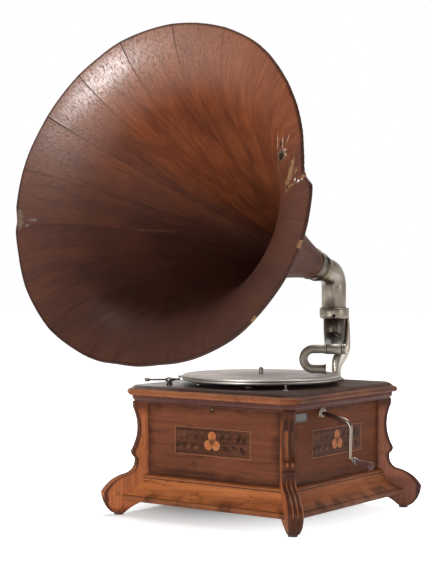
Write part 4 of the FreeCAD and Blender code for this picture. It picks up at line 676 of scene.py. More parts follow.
def bloom_and_sheen(tree):
    """Bloomed polish on the board's left and in front of the speed screw, broken up by noise. It weights the coat
    and pales the colour, which is partly dust and partly a painted sheen.
    """
    spot = place(tree)
    left = ranged(add("SeparateXYZ", {0: spot}, out=0), float(middle[0]) - 0.045, float(middle[0]) - 0.120)
    screw = ranged(distance(spot, at((104, -106, TOP_FACE))), 0.030, 0.010, 0.0, 0.4)
    return times(math("MAXIMUM", left, screw), ranged(stretched_noise(spot, (28, 60, 60), 3.0), 0.26, 0.50))


top_wood = timber("top_walnut", (0.026, 0.012, 0.008), (0.068, 0.031, 0.020), (0.115, 0.054, 0.034), 26, polish=0.1,
                  matt=0.16, dust_and_sheen=bloom_and_sheen)
fit("top_field", np.concatenate([edge_rows, field_rows]), top_wood, "case", "case_wood", "top_board", closed=True)


# Trim: a brass keyhole bush, a bare grey tag with cut corners and the winding shaft's escutcheon, each a
# stamping or turning pressed or pinned into its panel.
def lathe(name, profile, origin, axis, material, body, slot, *stood_for, count=48, **form):
    """A turned piece: a profile of distances along an axis and radii, spun about it from an origin. A profile that
    starts on the axis is a solid turning, another is a ring, joined from its last point to its first."""
    profile = np.asarray(profile, float)
    axis = np.asarray(axis, float) / np.linalg.norm(axis)
    aside = np.cross(axis, UP if abs(axis[2]) < 0.9 else (1, 0, 0))
    aside /= np.linalg.norm(aside)
    turn = np.linspace(0, 2 * np.pi, count, endpoint=False)[:, None]
    ring = np.cos(turn) * aside + np.sin(turn) * np.cross(axis, aside)
    fit(name, origin + profile[:, :1, None] * axis + profile[:, 1:, None] * ring, material, body, slot, *stood_for,
        closed=profile[0, 1] > 0, **form)


nickel = metal("old_nickel", (0.47, 0.42, 0.36), (0.27, 0.22, 0.17))
soft_brass = metal("trim_brass", (0.62, 0.47, 0.24), (0.30, 0.21, 0.10))
# the keyhole eye is painted nearly black: the shade of the keyhole, over its brass ring
keyhole_brass_and_shade = metal("keyhole_brass_and_shade", (0.075, 0.050, 0.030), (0.030, 0.019, 0.013), True, 0.2)
keyhole = [(-1.2, 0), (-1.2, 2.4), (0.4, 2.5), (0.9, 2.9), (0.8, 3.6), (0.2, 4.4), (-2, 4.5), (-2, 0)]
lathe("keyhole_eye", keyhole, (0, -PANEL_FACE, 172.7), (0, -1, 0), keyhole_brass_and_shade, "case", "brass", "keyhole_bush")
pin = [(-1.3, 0), (-1.3, 1.9), (-0.2, 1.9), (0.7, 1.5), (1.1, 0.8), (1.2, 0)]
lathe("keyhole_pin", pin, (0, -PANEL_FACE, 173.2), (0, -1, 0), soft_brass, "case", "brass")

cut = np.array([(-18, -2.9), (-14.4, -6.5), (14.4, -6.5), (18, -2.9), (18, 2.9), (14.4, 6.5), (-14.4, 6.5), (-18, 2.9)])
tag = np.array([(0, 0.55), (0.55, 0.55), (0.86, 0.55), (0.89, 0.8), (0.97, 0.8), (1.0, 0.6), (1.0, -0.3), (0, -0.3)])
tag_zinc = metal("tag_zinc", (0.20, 0.195, 0.19), (0.12, 0.115, 0.11), True, 0.2)
fit("bare_tag", on_wall("right", -105 + cut[:, 0] * tag[:, :1], 166 + cut[:, 1] * tag[:, :1], tag[:, 1:]), tag_zinc,
    "case", "nickel", "tag_plate")

CRANK_OUT = np.array([0.977, 0, -0.213]) / np.hypot(0.977, 0.213)
CRANK_DOWN = np.array([CRANK_OUT[2], 0, -CRANK_OUT[0]])
CRANK_EYE = np.array([PANEL_FACE, -45.0, 169.0])
escutcheon = [(-12, 3.7), (2.6, 3.7), (3.4, 4.0), (3.6, 4.8), (3.2, 6.2), (2.2, 6.9), (1.5, 7.1), (1.4, 7.8),
              (1.2, 8.7), (0.6, 9.1), (-0.6, 9.1), (-0.6, 7.0), (-12, 7.0)]
lathe("shaft_escutcheon", escutcheon, CRANK_EYE, CRANK_OUT, nickel, "case", "nickel", "crank_bush")

# Turntable: a spun platter with a rolled nickel rim in two bands, a disc of worn grey felt glued on it, and the
# steel spindle that carries both, which keeps its solid.
HUB, FELT_FACE = np.array([0, SPINDLE_Y, 0]), 219.6
rim = [(218.4, 4.1), (218.4, 123.6), (219.1, 124.1), (219.6, 124.9), (219.6, 125.9), (219.2, 126.7), (218.4, 127.0),
       (216.9, 127.0), (216.5, 126.5), (216.1, 126.0), (215.7, 126.4), (215.4, 127.0), (214.6, 127.0), (213.0, 126.75),
       (211.9, 126.3), (211.3, 125.6), (211.1, 124.4), (214.6, 123.6), (215.9, 60), (215.9, 13.0), (210.8, 13.0),
       (210.8, 4.1)]
platter_nickel = metal("platter_nickel", (0.74, 0.70, 0.64), (0.58, 0.52, 0.45), True, 0.06, 0.08)
lathe("platter_pan", rim, HUB, UP, platter_nickel, "turntable", "nickel", "platter", count=160)

felt, tree, surface = shade("grey_felt")
nap = stretched_noise(place(tree), (1500, 1500, 1500), 3.0)
patch = stretched_noise(place(tree), (22, 22, 22), 4.0, 0.6)
inward = distance(place(tree), at(HUB + (0, 0, FELT_FACE)))
cloth = mixed(ranged(patch, 0.36, 0.64), (0.46, 0.40, 0.37, 1), (0.32, 0.265, 0.24, 1))
cloth = mixed(ranged(nap, 0.35, 0.7, 0.0, 0.5), cloth, (0.50, 0.45, 0.42, 1))
cloth = mixed(ranged(inward, 0.075, 0.030, 0.0, 0.6), cloth, (0.17, 0.125, 0.11, 1))
plug(tree, surface, {"Base Color": cloth, "Roughness": 0.92, "Sheen Weight": 0.25, "Normal": bump(nap, 0.5, 0.0006)})
disc = [(218.5, 4.2), (219.3, 4.2), (FELT_FACE, 4.8), (FELT_FACE, 20), (FELT_FACE, 60), (FELT_FACE, 100),
        (FELT_FACE, 122.4), (219.4, 123.1), (218.9, 123.4), (218.5, 123.4)]
lathe("felt_disc", disc, HUB, UP, felt, "turntable", "felt", "platter_felt", count=128)


# Brake and speed regulator: a pivoted steel hook with a felt pad that presses on the platter's rim, and a threaded
# pin in a small bush, both screwed into the top board.
def rounded(corners, radius, reach=10):
    """A path with its corners rounded: at each corner an arc of the radius about a centre on the bisector, between
    points a tangent's length back and ahead. That length is the radius times the tangent of half the turn."""
    corners = np.asarray(corners, float)
    path = [corners[:1]]
    share = np.linspace(0, 1, reach)[:, None]
    bends = np.broadcast_to(radius, len(corners) - 2)
    for before, here, after, bend in zip(corners[:-2], corners[1:-1], corners[2:], bends):
        back, ahead = ((end - here) / np.linalg.norm(end - here) for end in (before, after))
        half = np.arccos(np.clip(-back @ ahead, -1, 1)) / 2
        centre = here + (back + ahead) / np.linalg.norm(back + ahead) * bend / np.cos(half)
        first, last = (here + way * bend * np.tan(half) - centre for way in (back, ahead))
        arc = first * np.sin((1 - share) * 2 * half) + last * np.sin(share * 2 * half)
        path.append(centre + arc / np.sin(2 * half))
    return np.concatenate(path + [corners[-1:]])


def drawn(path, radius, upright, count=24, flat=None):
    """A bar drawn along a path that lies in a plane: a circle, or a section given as points, across each point, scaled
    by the radius there, with both ends domed to a point. upright is the plane's normal."""
    path = np.asarray(path, float)
    heading = np.gradient(path, axis=0)
    heading /= np.linalg.norm(heading, axis=1, keepdims=True)
    upright = np.asarray(upright, float) / np.linalg.norm(upright)
    aside = np.cross(np.broadcast_to(upright, heading.shape), heading)
    aside /= np.linalg.norm(aside, axis=1, keepdims=True)
    turn = np.linspace(0, 2 * np.pi, count, endpoint=False)
    section = np.stack([np.cos(turn), np.sin(turn)], 1) if flat is None else np.asarray(flat, float)
    size = np.broadcast_to(radius, len(path))[:, None, None]
    rings = path[:, None] + size * (section[None, :, :1] * aside[:, None] + section[None, :, 1:] * upright)
    domes = [np.stack([path[end] + (rings[end] - path[end]) * share + out * heading[end] * lift * size[end] * 0.12
                       for share, lift in ((0, 1.0), (0.45, 0.95), (0.82, 0.7), (0.95, 0.35))])
             for end, out in ((0, -1), (-1, 1))]
    return np.concatenate([domes[0], rings, domes[1][::-1]])


BRAKE, HOOK_LEVEL, HOOK_REACH = np.array([-105.1, -110.0, 0]), np.array([0, 0, 212.6]), 19.3
dark_steel = metal("worn_steel", (0.30, 0.28, 0.26), (0.13, 0.105, 0.085))
post = [(198.8, 0), (198.8, 3.2), (TOP_FACE, 3.2), (TOP_FACE, 5.0), (206.0, 5.0), (207.0, 4.4), (208.0, 3.6),
        (209.4, 3.4), (215.7, 3.4), (216.2, 3.1), (216.5, 2.2), (216.5, 0)]
lathe("brake_stud", post, BRAKE, UP, dark_steel, "case", "steel", "brake_post")
tip = BRAKE + compass(68.7) * HOOK_REACH
hook = rounded([BRAKE + HOOK_LEVEL, (BRAKE + tip) / 2 + HOOK_LEVEL + (-2.2, 1.2, 0), tip + HOOK_LEVEL], 12)
blade = [(-1, -0.42), (-0.86, -0.5), (0.86, -0.5), (1, -0.42), (1, 0.42), (0.86, 0.5), (-0.86, 0.5), (-1, 0.42)]
fit("brake_hook", drawn(hook, np.linspace(3.9, 2.7, len(hook)), UP, flat=blade), dark_steel, "brake", "steel",
    "brake_lever")
hub = [(209.6, 3.7), (209.6, 5.6), (210.2, 6.2), (214.9, 6.2), (215.5, 5.6), (215.7, 3.7)]
lathe("brake_hub", hub, BRAKE, UP, dark_steel, "brake", "steel")
finger = [(4, 0), (4, 1.6), (30, 1.6), (31, 1.7), (32, 2.5), (34, 3.1), (36.6, 3.2), (38.6, 2.6), (39.6, 1.4),
          (39.9, 0)]
lathe("brake_finger", finger, BRAKE + HOOK_LEVEL, compass(216), dark_steel, "brake", "steel")
pad = [(214.7, 0), (214.7, 2.7), (215.2, 3.0), (218.0, 3.0), (218.5, 2.6), (218.6, 0)]
lathe("brake_felt", pad, tip, UP, felt, "brake", "felt", "brake_pad", count=32)

SPEED_SCREW, THREAD = (109, -100, 0), 1.4
bush = [(204.4, 2.2), (204.4, 4.5), (205.1, 4.5), (205.6, 4.0), (205.7, 2.9), (205.4, 2.2)]
lathe("regulator_bush", bush, SPEED_SCREW, UP, nickel, "case", "nickel", "speed_bush")
lift = np.arange(184, 211.6, THREAD / 4)
thread = np.stack([lift, 1.86 + 0.14 * np.cos(lift * 2 * np.pi / THREAD)], 1)
thread = np.concatenate([[(183.7, 0), (183.7, 1.7)], thread, [(212.4, 1.9), (212.9, 1.5), (213.1, 0)]])
lathe("regulator_screw", thread, SPEED_SCREW, UP, dark_steel, "regulator", "steel", "speed_screw", count=20)


# Crank: a bent steel rod with a nickel ferrule and a turned, dark red handle that spins on its end. Its inner end
# carries the winding pinion.
def from_eye(points):
    """Points by distance down the crank's throw and out along its shaft, to millimetres of the case."""
    points = np.asarray(points, float)
    return CRANK_EYE + points[:, :1] * CRANK_DOWN + points[:, 1:] * CRANK_OUT


bend = rounded(from_eye([(0, -31), (0, 53), (55, 63), (55, 94)]), (14, 6), 16)
slim = np.interp(np.arange(len(bend)), [0, 1, 16, 17, 32, 33], [3.25, 3.25, 2.9, 2.7, 2.1, 3.2])
crank_nickel = metal("crank_nickel", (0.30, 0.245, 0.195), (0.15, 0.11, 0.082))
fit("crank_bar", drawn(bend, slim, np.cross(CRANK_OUT, CRANK_DOWN)), crank_nickel, "crank", "steel", "crank_rod")
GRIP = np.array([195.7, -45, 100.4])
collar = [(0, 3.5), (0, 4.7), (0.5, 5.2), (1.5, 5.2), (2.1, 4.7), (2.9, 4.7), (3.5, 5.1), (4.6, 5.1), (5.0, 4.7),
          (5.0, 3.5)]
lathe("handle_collar", collar, GRIP, CRANK_OUT, dark_steel, "crank_grip", "nickel", "handle_ferrule")
share = np.linspace(0, 1, 40)
belly = np.stack([5.1 + share * 24.0, 4.3 - 0.7 * np.sin(share * np.pi) + 2.6 * share ** 1.6], 1)
dome = np.linspace(0, np.pi / 2, 12)[1:]
dome = np.stack([29.1 + 5.4 * np.sin(dome), 6.9 * np.cos(dome)], 1)
handle_wood = timber("handle_mahogany", (0.045, 0.018, 0.015), (0.105, 0.043, 0.037), (0.16, 0.068, 0.056), 160,
                     coat=0.25, matt=0.14)
lathe("turned_handle", np.concatenate([[(5.1, 0), (5.1, 4.0)], belly, dome]), GRIP, CRANK_OUT, handle_wood,
      "crank_grip", "handle_wood", "crank_handle", along=CRANK_OUT)

# Horn bracket: a nickelled casting, a foot and column screwed to the top board, a bowed strap and a collar ring
# that the arm hangs in and the horn stands on. A set screw holds the arm.
BRACKET, OUTWARD = np.array([59.96, 118.03, 0]), compass(64.2)
ACROSS = np.cross(UP, OUTWARD)
foot = [(TOP_FACE, 0), (TOP_FACE, 12.6), (205.0, 13.0), (207.2, 13.0), (208.0, 12.6), (208.5, 11.4), (208.9, 9.8),
        (210.4, 8.6), (213.0, 7.9), (214.0, 0)]
lathe("bracket_foot", foot, BRACKET + OUTWARD * 4.4, UP, nickel, "case", "nickel", "horn_bracket")


def swan(level):
    """The casting's upright arm by its height: the middle and half thickness of each level slice, the half width and
    how square the slice is, each a line through given levels smoothed by a running mean."""
    given = np.array([
        (TOP_FACE, -2.9, 12.3, 7.6, 1.0), (222, -2.9, 12.3, 7.6, 1.0), (229, -2.9, 15.5, 7.8, 1.0),
        (237, -2.7, 22.5, 8.0, 0.95), (245, 0.0, 27.6, 8.0, 0.9), (252, 6.5, 29.9, 7.8, 0.85),
        (260, 14.2, 30.4, 7.6, 0.8), (270, 18.4, 30.3, 7.4, 0.8), (286, 20.6, 29.2, 7.2, 0.8),
        (300, 21.4, 28.0, 7.0, 0.8), (308, 21.6, 27.3, 6.8, 0.8), (323.9, 21.6, 27.0, 6.6, 0.8)])
    fine = np.linspace(196, 332, 137)
    lines = np.stack([np.interp(fine, given[:, 0], given[:, item]) for item in range(1, 5)])
    kernel = np.hanning(11) / np.hanning(11).sum()
    smooth = [np.interp(level, fine[5:-5], np.convolve(line, kernel, "valid")) for line in lines]
    return (smooth[0] + smooth[1]) / 2, (smooth[1] - smooth[0]) / 2, smooth[2], smooth[3]


level = np.concatenate([[207], np.arange(207.0, 323.5, 1.5), [323.2, 323.7, 323.9, 323.9]])
centre, thick, width, squareness = (part[:, None] for part in swan(level))
shrink = np.concatenate([[0], np.ones(len(level) - 5), [0.97, 0.9, 0.75, 0]])[:, None]
spin = np.linspace(0, 2 * np.pi, 40, endpoint=False)
forth = centre + shrink * thick * np.sign(np.cos(spin)) * np.abs(np.cos(spin)) ** squareness
aside = shrink * width * np.sign(np.sin(spin)) * np.abs(np.sin(spin)) ** squareness
strap = BRACKET + forth[..., None] * OUTWARD + aside[..., None] * ACROSS + level[:, None, None] * np.array(UP)
fit("bracket_swan", strap, nickel, "case", "nickel")
ring = [(306.4, 18.1), (306.4, 20.2), (306.8, 21.2), (307.8, 22.2), (309.6, 23.0), (312.0, 23.4), (318.6, 23.4),
        (321.4, 23.3), (322.9, 22.9), (324.1, 22.0), (324.8, 20.9), (324.9, 19.9), (324.9, 18.1)]
lathe("bracket_collar", ring, BRACKET, UP, nickel, "case", "nickel", count=72)
wear("bracket_screws", dark_steel)
# the set screw is painted black, as the shade of the hole it sits in
wear("collar_screw", metal("screw_hole_shade", (0.030, 0.024, 0.020), (0.018, 0.014, 0.012), False, 0.2))

# Horn: a nickel elbow that turns in the collar, a ferrule with two beads, and a bell of eighteen thin mahogany staves
# glued edge to edge. The lip has lost a long splinter on its right and some veneer beside it.
yaw, rise = np.radians(4.2), np.radians(12.1)
HORN_AXIS = np.array([np.sin(yaw) * np.cos(rise), -np.cos(yaw) * np.cos(rise), np.sin(rise)])
CROSS, PIPE_FOOT, PIPE_RUN, PIPE_BEND, PIPE_RADIUS = BRACKET + (0, 0, 380), BRACKET + (0, 0, 325.2), 54, 25, 20
pipe = rounded([PIPE_FOOT, CROSS, CROSS + HORN_AXIS * PIPE_RUN], PIPE_BEND, 18)
elbow_nickel = metal("elbow_nickel", (0.34, 0.295, 0.245), (0.20, 0.162, 0.125))
fit("horn_elbow_pipe", drawn(pipe, PIPE_RADIUS, np.cross(UP, HORN_AXIS), 56), elbow_nickel, "horn_assembly",
    "nickel", "horn_elbow")
beads = [(56, 20.2), (56, 22.0), (56.6, 23.2), (57.6, 24.0), (58.8, 24.3), (60.0, 24.2), (61.2, 23.5), (61.9, 22.7),
         (62.6, 22.5), (65.2, 22.8), (65.7, 22.4), (66.2, 22.9), (70, 23.3), (78.6, 24.2), (79.4, 24.6), (80.2, 25.5),
         (81.6, 26.1), (83.0, 26.2), (84.4, 25.8), (85.4, 25.0), (86, 24.2), (86, 20.2)]
ferrule_nickel = metal("ferrule_nickel", (0.145, 0.112, 0.083), (0.078, 0.056, 0.040))
lathe("horn_collar_beads", beads, CROSS, HORN_AXIS, ferrule_nickel, "horn_assembly", "nickel", "horn_ferrule", count=72)
band = [(43, 20.2), (43, 20.8), (43.6, 21.4), (49, 21.7), (55.2, 21.9), (55.9, 21.5), (55.9, 20.2)]
band_brass = metal("band_brass", (0.24, 0.18, 0.105), (0.14, 0.105, 0.062))
lathe("horn_collar_band", band, CROSS, HORN_AXIS, band_brass, "horn_assembly", "brass", count=72)

# the bell's line: a slack arc from the neck to the end of the cone, then a tighter one that meets it smoothly
NECK, CONE, MOUTH, BOW = np.array([84.5, 24.6]), np.array([450.0, 153.0]), np.array([525.0, 241.7]), 16.5
WALL, LIP, FACET, GROOVE, SPLINTER_DEPTH, HOLE_DEPTH = 4.6, 1.8, 0.12, 0.10, 1.1, 2.2
SEAMS = np.array([10, 30, 51, 71, 92, 113, 132, 150, 170, 190, 211, 230, 250, 270, 291, 311, 330, 350.0])
STAVES = len(SEAMS)
cone = CONE - NECK
bend = 2 * np.arctan(2 * BOW / np.linalg.norm(cone))
SLACK = np.linalg.norm(cone) / (2 * np.sin(bend))
neck_turn, cone_turn = np.arctan2(cone[1], cone[0]) - bend, np.arctan2(cone[1], cone[0]) + bend
chord = MOUTH - CONE
sag = chord @ (-np.sin(cone_turn), np.cos(cone_turn))
FLARE = chord @ chord / (2 * sag)
CONE_RUN = SLACK * 2 * bend
RUN = CONE_RUN + FLARE * 2 * np.arcsin(sag / np.linalg.norm(chord))


def flare(run):
    """The bell's outer line by its length from the neck: a slack arc along the cone, then a tighter one that opens to
    the lip. Gives the distance along the axis, the radius and the line's slope."""
    slack = neck_turn + np.minimum(run, CONE_RUN) / SLACK
    slope = slack + np.maximum(run - CONE_RUN, 0) / FLARE
    along = NECK[0] + SLACK * (np.sin(slack) - np.sin(neck_turn)) + FLARE * (np.sin(slope) - np.sin(slack))
    radius = NECK[1] + SLACK * (np.cos(neck_turn) - np.cos(slack)) + FLARE * (np.cos(slack) - np.cos(slope))
    return along, radius, slope


# columns round the bell in degrees, close at the seams and the torn places, and what its lip has lost in millimetres
within = np.concatenate([[0, 0.02, 0.06], np.linspace(0.16, 0.84, 7), [0.94, 0.98]])
widths = np.diff(np.append(SEAMS, SEAMS[0] + 360))
bearing = np.concatenate([
    (SEAMS[:, None] + widths[:, None] * within).ravel() % 360, np.linspace(1, 31, 94), np.linspace(32, 56, 16),
    np.linspace(181, 195, 40), np.linspace(312, 318, 16), np.linspace(332, 347, 30)])
bearing = np.unique(np.round(bearing, 3))
stave = np.searchsorted(SEAMS, bearing, side="right") - 1
start = np.where(stave < 0, SEAMS[-1] - 360, SEAMS[stave])
u = (bearing - start) / widths[stave]
rough = np.sin(bearing * 2.9) + 0.6 * np.sin(bearing * 7.3 + 1.0) + 0.5 * np.sin(bearing * 13.7 + 2.0)
lost = np.interp(bearing, [0, 1.4, 2.6, 3.8, 5, 7, 9, 15, 21, 27, 33, 39, 45, 51, 56, 183.4, 186, 188, 190, 191.8],
                 [0.8, 1.6, 6, 12, 17, 22.5, 25.5, 22.5, 17.5, 14, 10.5, 7, 4, 1.2, 0, 0, 1.4, 2.2, 1.2, 0])
lost = lost + np.where((bearing > 4) & (bearing < 40), 0.22, 0.07) * rough
out_of_round = np.interp(
    bearing, [0, 3, 9, 51, 60, 117, 123, 153, 165, 183, 201, 213, 231, 243, 255, 262, 279, 285, 294, 306, 321, 345, 351,
              357, 360],
    [-3.5, -4, 0, 0, 1.6, 2.0, 0.4, 0, 2.4, 2.8, 1.4, 3.4, 3.4, 0.5, -1.2, -4.6, -5.4, -3, -0.5, 2.5, 0.8, -0.7, -2.5,
     -3.5, -3.5])
end = RUN - LIP - lost
run = np.concatenate([np.linspace(0, 0.70, 26), np.linspace(0.70, 1, 88)[1:]])[:, None] * end
along, radius, slope = flare(run)
facet = (np.cos(np.pi / STAVES) / np.cos(np.pi / STAVES * (2 * u - 1)) - 1) * FACET
groove = GROOVE * np.exp(-(np.minimum(u, 1 - u) * 60) ** 2)
shape = (run / RUN) ** 2
radius = radius * (1 + facet * shape) + out_of_round * (run / RUN) ** 5


def scars(*patches):
    """Torn patches on the inside of the bell, each by its bearing, its place along the run, its half width and half
    length, how far its width slants and its length leans: one at the centre, falling to nought on an oval whose edge
    is made ragged by crossed waves. Where patches meet, the greatest counts."""
    torn = 0
    for centre, where, half_round, half_run, *tilt in patches:
        skew, lean = tilt or (0, 0)
        aside = np.radians(bearing - centre) * radius + lean * (run - where)
        ahead = run - where + skew * aside
        ragged = (np.sin(aside * 0.9 + ahead * 0.35) + np.sin(aside * 0.45 - ahead * 0.8 + 1)
                  + 0.6 * np.sin(ahead * 1.3 + aside * 1.1))
        oval = np.hypot(aside / half_round, ahead / half_run)
        torn = np.maximum(torn, np.clip(1.25 - oval + 0.17 * ragged, 0, 1))
    return torn


# torn places: holes, their dark painted as shade on a thinned wall, spots painted white as the daylight seen
# through them, and wood bared white, golden or grey
hole = scars((20.9, 421, 6.0, 16, 0, 0.27), (24.6, 432, 2.2, 6), (19.0, 444, 1.8, 5), (4.2, 441, 2.2, 4.5),
             (15.3, 458, 2.2, 2.6))
through = scars((5.0, 466.5, 2.4, 3.6), (3.9, 475.5, 2.2, 4.2), (4.1, 484.5, 1.2, 2.2))
white = scars((27.2, 427, 7.5, 3.4, -1.4, 0), (23.8, 442, 8.2, 3.4, -0.83, 0), (22.2, 457, 4.2, 1.8, -2.4, 0),
              (21.6, 389, 3.0, 6.5), (18.6, 392, 2.8, 6.0, 0, 0.3), (20.2, 441, 3.0, 7.5, 0, 0.3),
              (18.6, 437, 3.2, 9.0, 0, 0.3))
golden = scars((12.4, 460, 7, 5.0, -0.58, 0), (9.6, 452, 8, 9.0, -0.5, 0), (8.2, 466, 3.4, 5.0, -0.4, 0),
               (6.8, 446, 6.5, 11.5, -0.4, 0), (3.4, 458, 1.8, 9), (4.0, 479, 1.6, 12), (4.6, 487, 3.6, 5),
               (2.2, 441, 2.2, 4.5), (3.0, 450, 2.0, 3.5), (342.6, 507, 7.5, 3.2), (315.6, 507.4, 7, 1.8))
grey = scars((187.9, 502, 14, 5.5), (188.3, 482, 2.6, 7), (190.3, 491, 2.2, 4), (20.6, 424, 9, 21, 0, 0.27))
splinters = np.maximum.reduce([white, golden, grey])
fresh = np.maximum(white, 0.45 * golden)
line = np.radians(bearing - np.interp(run, [266, 323], [184.4, 188.6])) * radius
scored = np.exp(-(line / 0.8) ** 2) * ((run > 264) & (run < 325))
wall = WALL - groove * shape - SPLINTER_DEPTH * np.minimum(splinters, 0.6) - HOLE_DEPTH * np.maximum(hole, through)
curl = np.linspace(0, np.pi, 8)[1:-1, None]
lip_along = along[-1] + WALL / 2 * np.sin(slope[-1]) * (1 - np.cos(curl)) + LIP * np.cos(slope[-1]) * np.sin(curl)
lip_radius = radius[-1] - WALL / 2 * np.cos(slope[-1]) * (1 - np.cos(curl)) + LIP * np.sin(slope[-1]) * np.sin(curl)


def over_bell(inside, lip=0.0, outside=0.0):
    """Values over the whole bell: down its outside, round its lip, and back up its inside."""
    return np.concatenate([outside + 0 * run, lip + 0 * lip_along, (inside + 0 * run)[::-1]])


bell_along = over_bell(along + wall * np.sin(slope), lip_along, along)
bell_radius = over_bell(radius - wall * np.cos(slope), lip_radius, radius)
level_side = np.cross(UP, HORN_AXIS)
level_side /= np.linalg.norm(level_side)
spin = np.radians(bearing)[:, None]
ring = np.cos(spin) * level_side + np.sin(spin) * np.cross(HORN_AXIS, level_side)
bell = CROSS + bell_along[..., None] * HORN_AXIS + bell_radius[..., None] * ring

# what the shading reads at each point, by the bearing and the length from the neck
length = over_bell(run, end, run)
within_bell = 1 - over_bell(0, 0.3, 1)
stave_width = bell_radius * np.radians(widths[stave])
rng = np.random.default_rng(7)
tone = rng.uniform(-1, 1, STAVES)[stave]
grain = np.stack([length + tone * 310, (u - 0.5) * stave_width + stave * 97, 0 * length], 2) * MM
# darker over the bottom and both sides of the bell, deep in it and near the neck: painted shade, with some grime
shade_and_grime = np.interp(bearing, [0, 30, 140, 165, 195, 235, 320, 345, 360], [0.6, 0, 0, 0.35, 0.6, 0.95, 0.95, 0.8, 0.6])
deep_shade = np.interp(length, [240, 430], [1.3, 0]) * np.interp(bearing, [140, 185, 300, 350], [0, 1, 1, 0])
shade_and_grime = np.maximum(np.maximum(shade_and_grime, deep_shade), np.interp(length, [100, 260], [0.9, 0]))
# a greyish mauve over the left, bottom and right: a painted sheen, with some dust
sheen_and_dust = np.interp(bearing, [0, 25, 130, 150, 175, 330, 360], [0.35, 0.05, 0.05, 0.3, 0.46, 0.46, 0.35])
# paler and warmer by the lip, from the upper right round the top to the left: painted light
painted_lip_light = np.interp(bearing, [35, 65, 100, 150, 168, 190], [0, 0.75, 1, 1, 0.5, 0])
painted_lip_light = painted_lip_light * np.interp(length, [395, 485], [0, 1])
gloss = np.interp(bearing, [55, 85, 105, 155, 180, 200], [0, 0.65, 1, 1, 0.3, 0])
gloss = gloss * np.interp(length, [405, 470], [0, 1])
loose = np.interp(bearing, [60, 80, 105, 150, 165, 185], [0.1, 0.45, 1, 1, 0.6, 0.15])
masks = {
    "tone": tone, "seam": np.minimum(u, 1 - u) * stave_width * MM, "rim": over_bell(end - run, 0, end - run) * MM,
    "loose": loose, "torn": over_bell(splinters, splinters[-1]), "pit": over_bell(hole),
    "fresh": over_bell(fresh, fresh[-1]), "through": over_bell(through), "scored": over_bell(scored),
    "outside": 1 - within_bell, "shade_and_grime": shade_and_grime * within_bell, "sheen_and_dust": sheen_and_dust * within_bell,
    "painted_lip_light": painted_lip_light * within_bell, "gloss": gloss}

horn_wood, tree, surface = shade("horn_mahogany")
mask = {key: read(tree, key) for key in masks}
fibres = read(tree, "grain", "Vector")
flecked = add("VectorMath", {0: fibres, 1: (2.6, 1.0, 1.0)}, operation="MULTIPLY")
grown = add("Group", {"Grain": flecked, "Dark": (0.125, 0.032, 0.0120, 1), "Mid": (0.275, 0.073, 0.0260, 1),
                      "Light": (0.400, 0.122, 0.042, 1), "Bands": 40.0, "Contrast": 0.85}, tree, None, node_tree=figure)
# colours laid over one another: staves, painted light by the lip, painted sheen and dust, painted shade and
# grime, seams and lip, then the torn places with their painted shade and painted daylight
colour = tinted(grown["Color"], mixed(ranged(mask["tone"], -1, 1), (0.88, 0.86, 0.86, 1), (1.08, 1.08, 1.08, 1)))
smudge = ranged(stretched_noise(fibres, (11, 26, 26), 4.0, 0.5), 0.46, 0.68, 0.0, 0.6)
colour = mixed(smudge, colour, tinted(colour, (0.60, 0.60, 0.70, 1)))
crazing = stretched_noise(fibres, (230, 470, 470), 4.0, 0.9)
# painted light by the lip, with dark crazing in it
colour = mixed(times(mask["painted_lip_light"], 0.40), colour, (0.56, 0.285, 0.185, 1))
colour = mixed(times(mask["painted_lip_light"], ranged(crazing, 0.48, 0.64, 0.0, 0.42)), colour, (0.105, 0.048, 0.036, 1))
# painted sheen and dust
colour = mixed(mask["sheen_and_dust"], colour, (0.140, 0.098, 0.092, 1))
# painted shade and grime
colour = mixed(mask["shade_and_grime"], colour, tinted(colour, (0.48, 0.47, 0.48, 1)))
shut = times(ranged(mask["seam"], 0.0009, 0.0002), 0.35)
open_seam = times(ranged(mask["seam"], 0.0014, 0.0003), times(ranged(mask["rim"], 0.085, 0.020), mask["loose"]))
colour = mixed(math("MAXIMUM", open_seam, shut), colour, (0.012, 0.006, 0.004, 1))
colour = mixed(ranged(mask["rim"], 0.0026, 0.0004, 0.0, 0.6), colour, (0.020, 0.010, 0.007, 1))
colour = mixed(mask["outside"], colour, tinted(colour, (0.35, 0.34, 0.25, 1)))
colour = mixed(times(mask["scored"], 0.30), colour, (0.50, 0.30, 0.20, 1))
crumb = stretched_noise(fibres, (160, 520, 520), 3.0)
gold = mixed(ranged(mask["fresh"], 0.03, 0.16), (0.20, 0.145, 0.110, 1), (0.40, 0.22, 0.11, 1))
pale = mixed(ranged(mask["fresh"], 0.47, 0.70), gold, (0.66, 0.50, 0.41, 1))
bare = mixed(ranged(crumb, 0.30, 0.55), (0.14, 0.062, 0.027, 1), pale)
torn = ranged(plus(mask["torn"], times(crumb, 0.3)), 0.42, 0.52)
colour = mixed(torn, colour, bare)
# painted shade inside the holes
colour = mixed(ranged(plus(mask["pit"], times(crumb, 0.3)), 0.5, 0.62), colour, (0.030, 0.019, 0.012, 1))
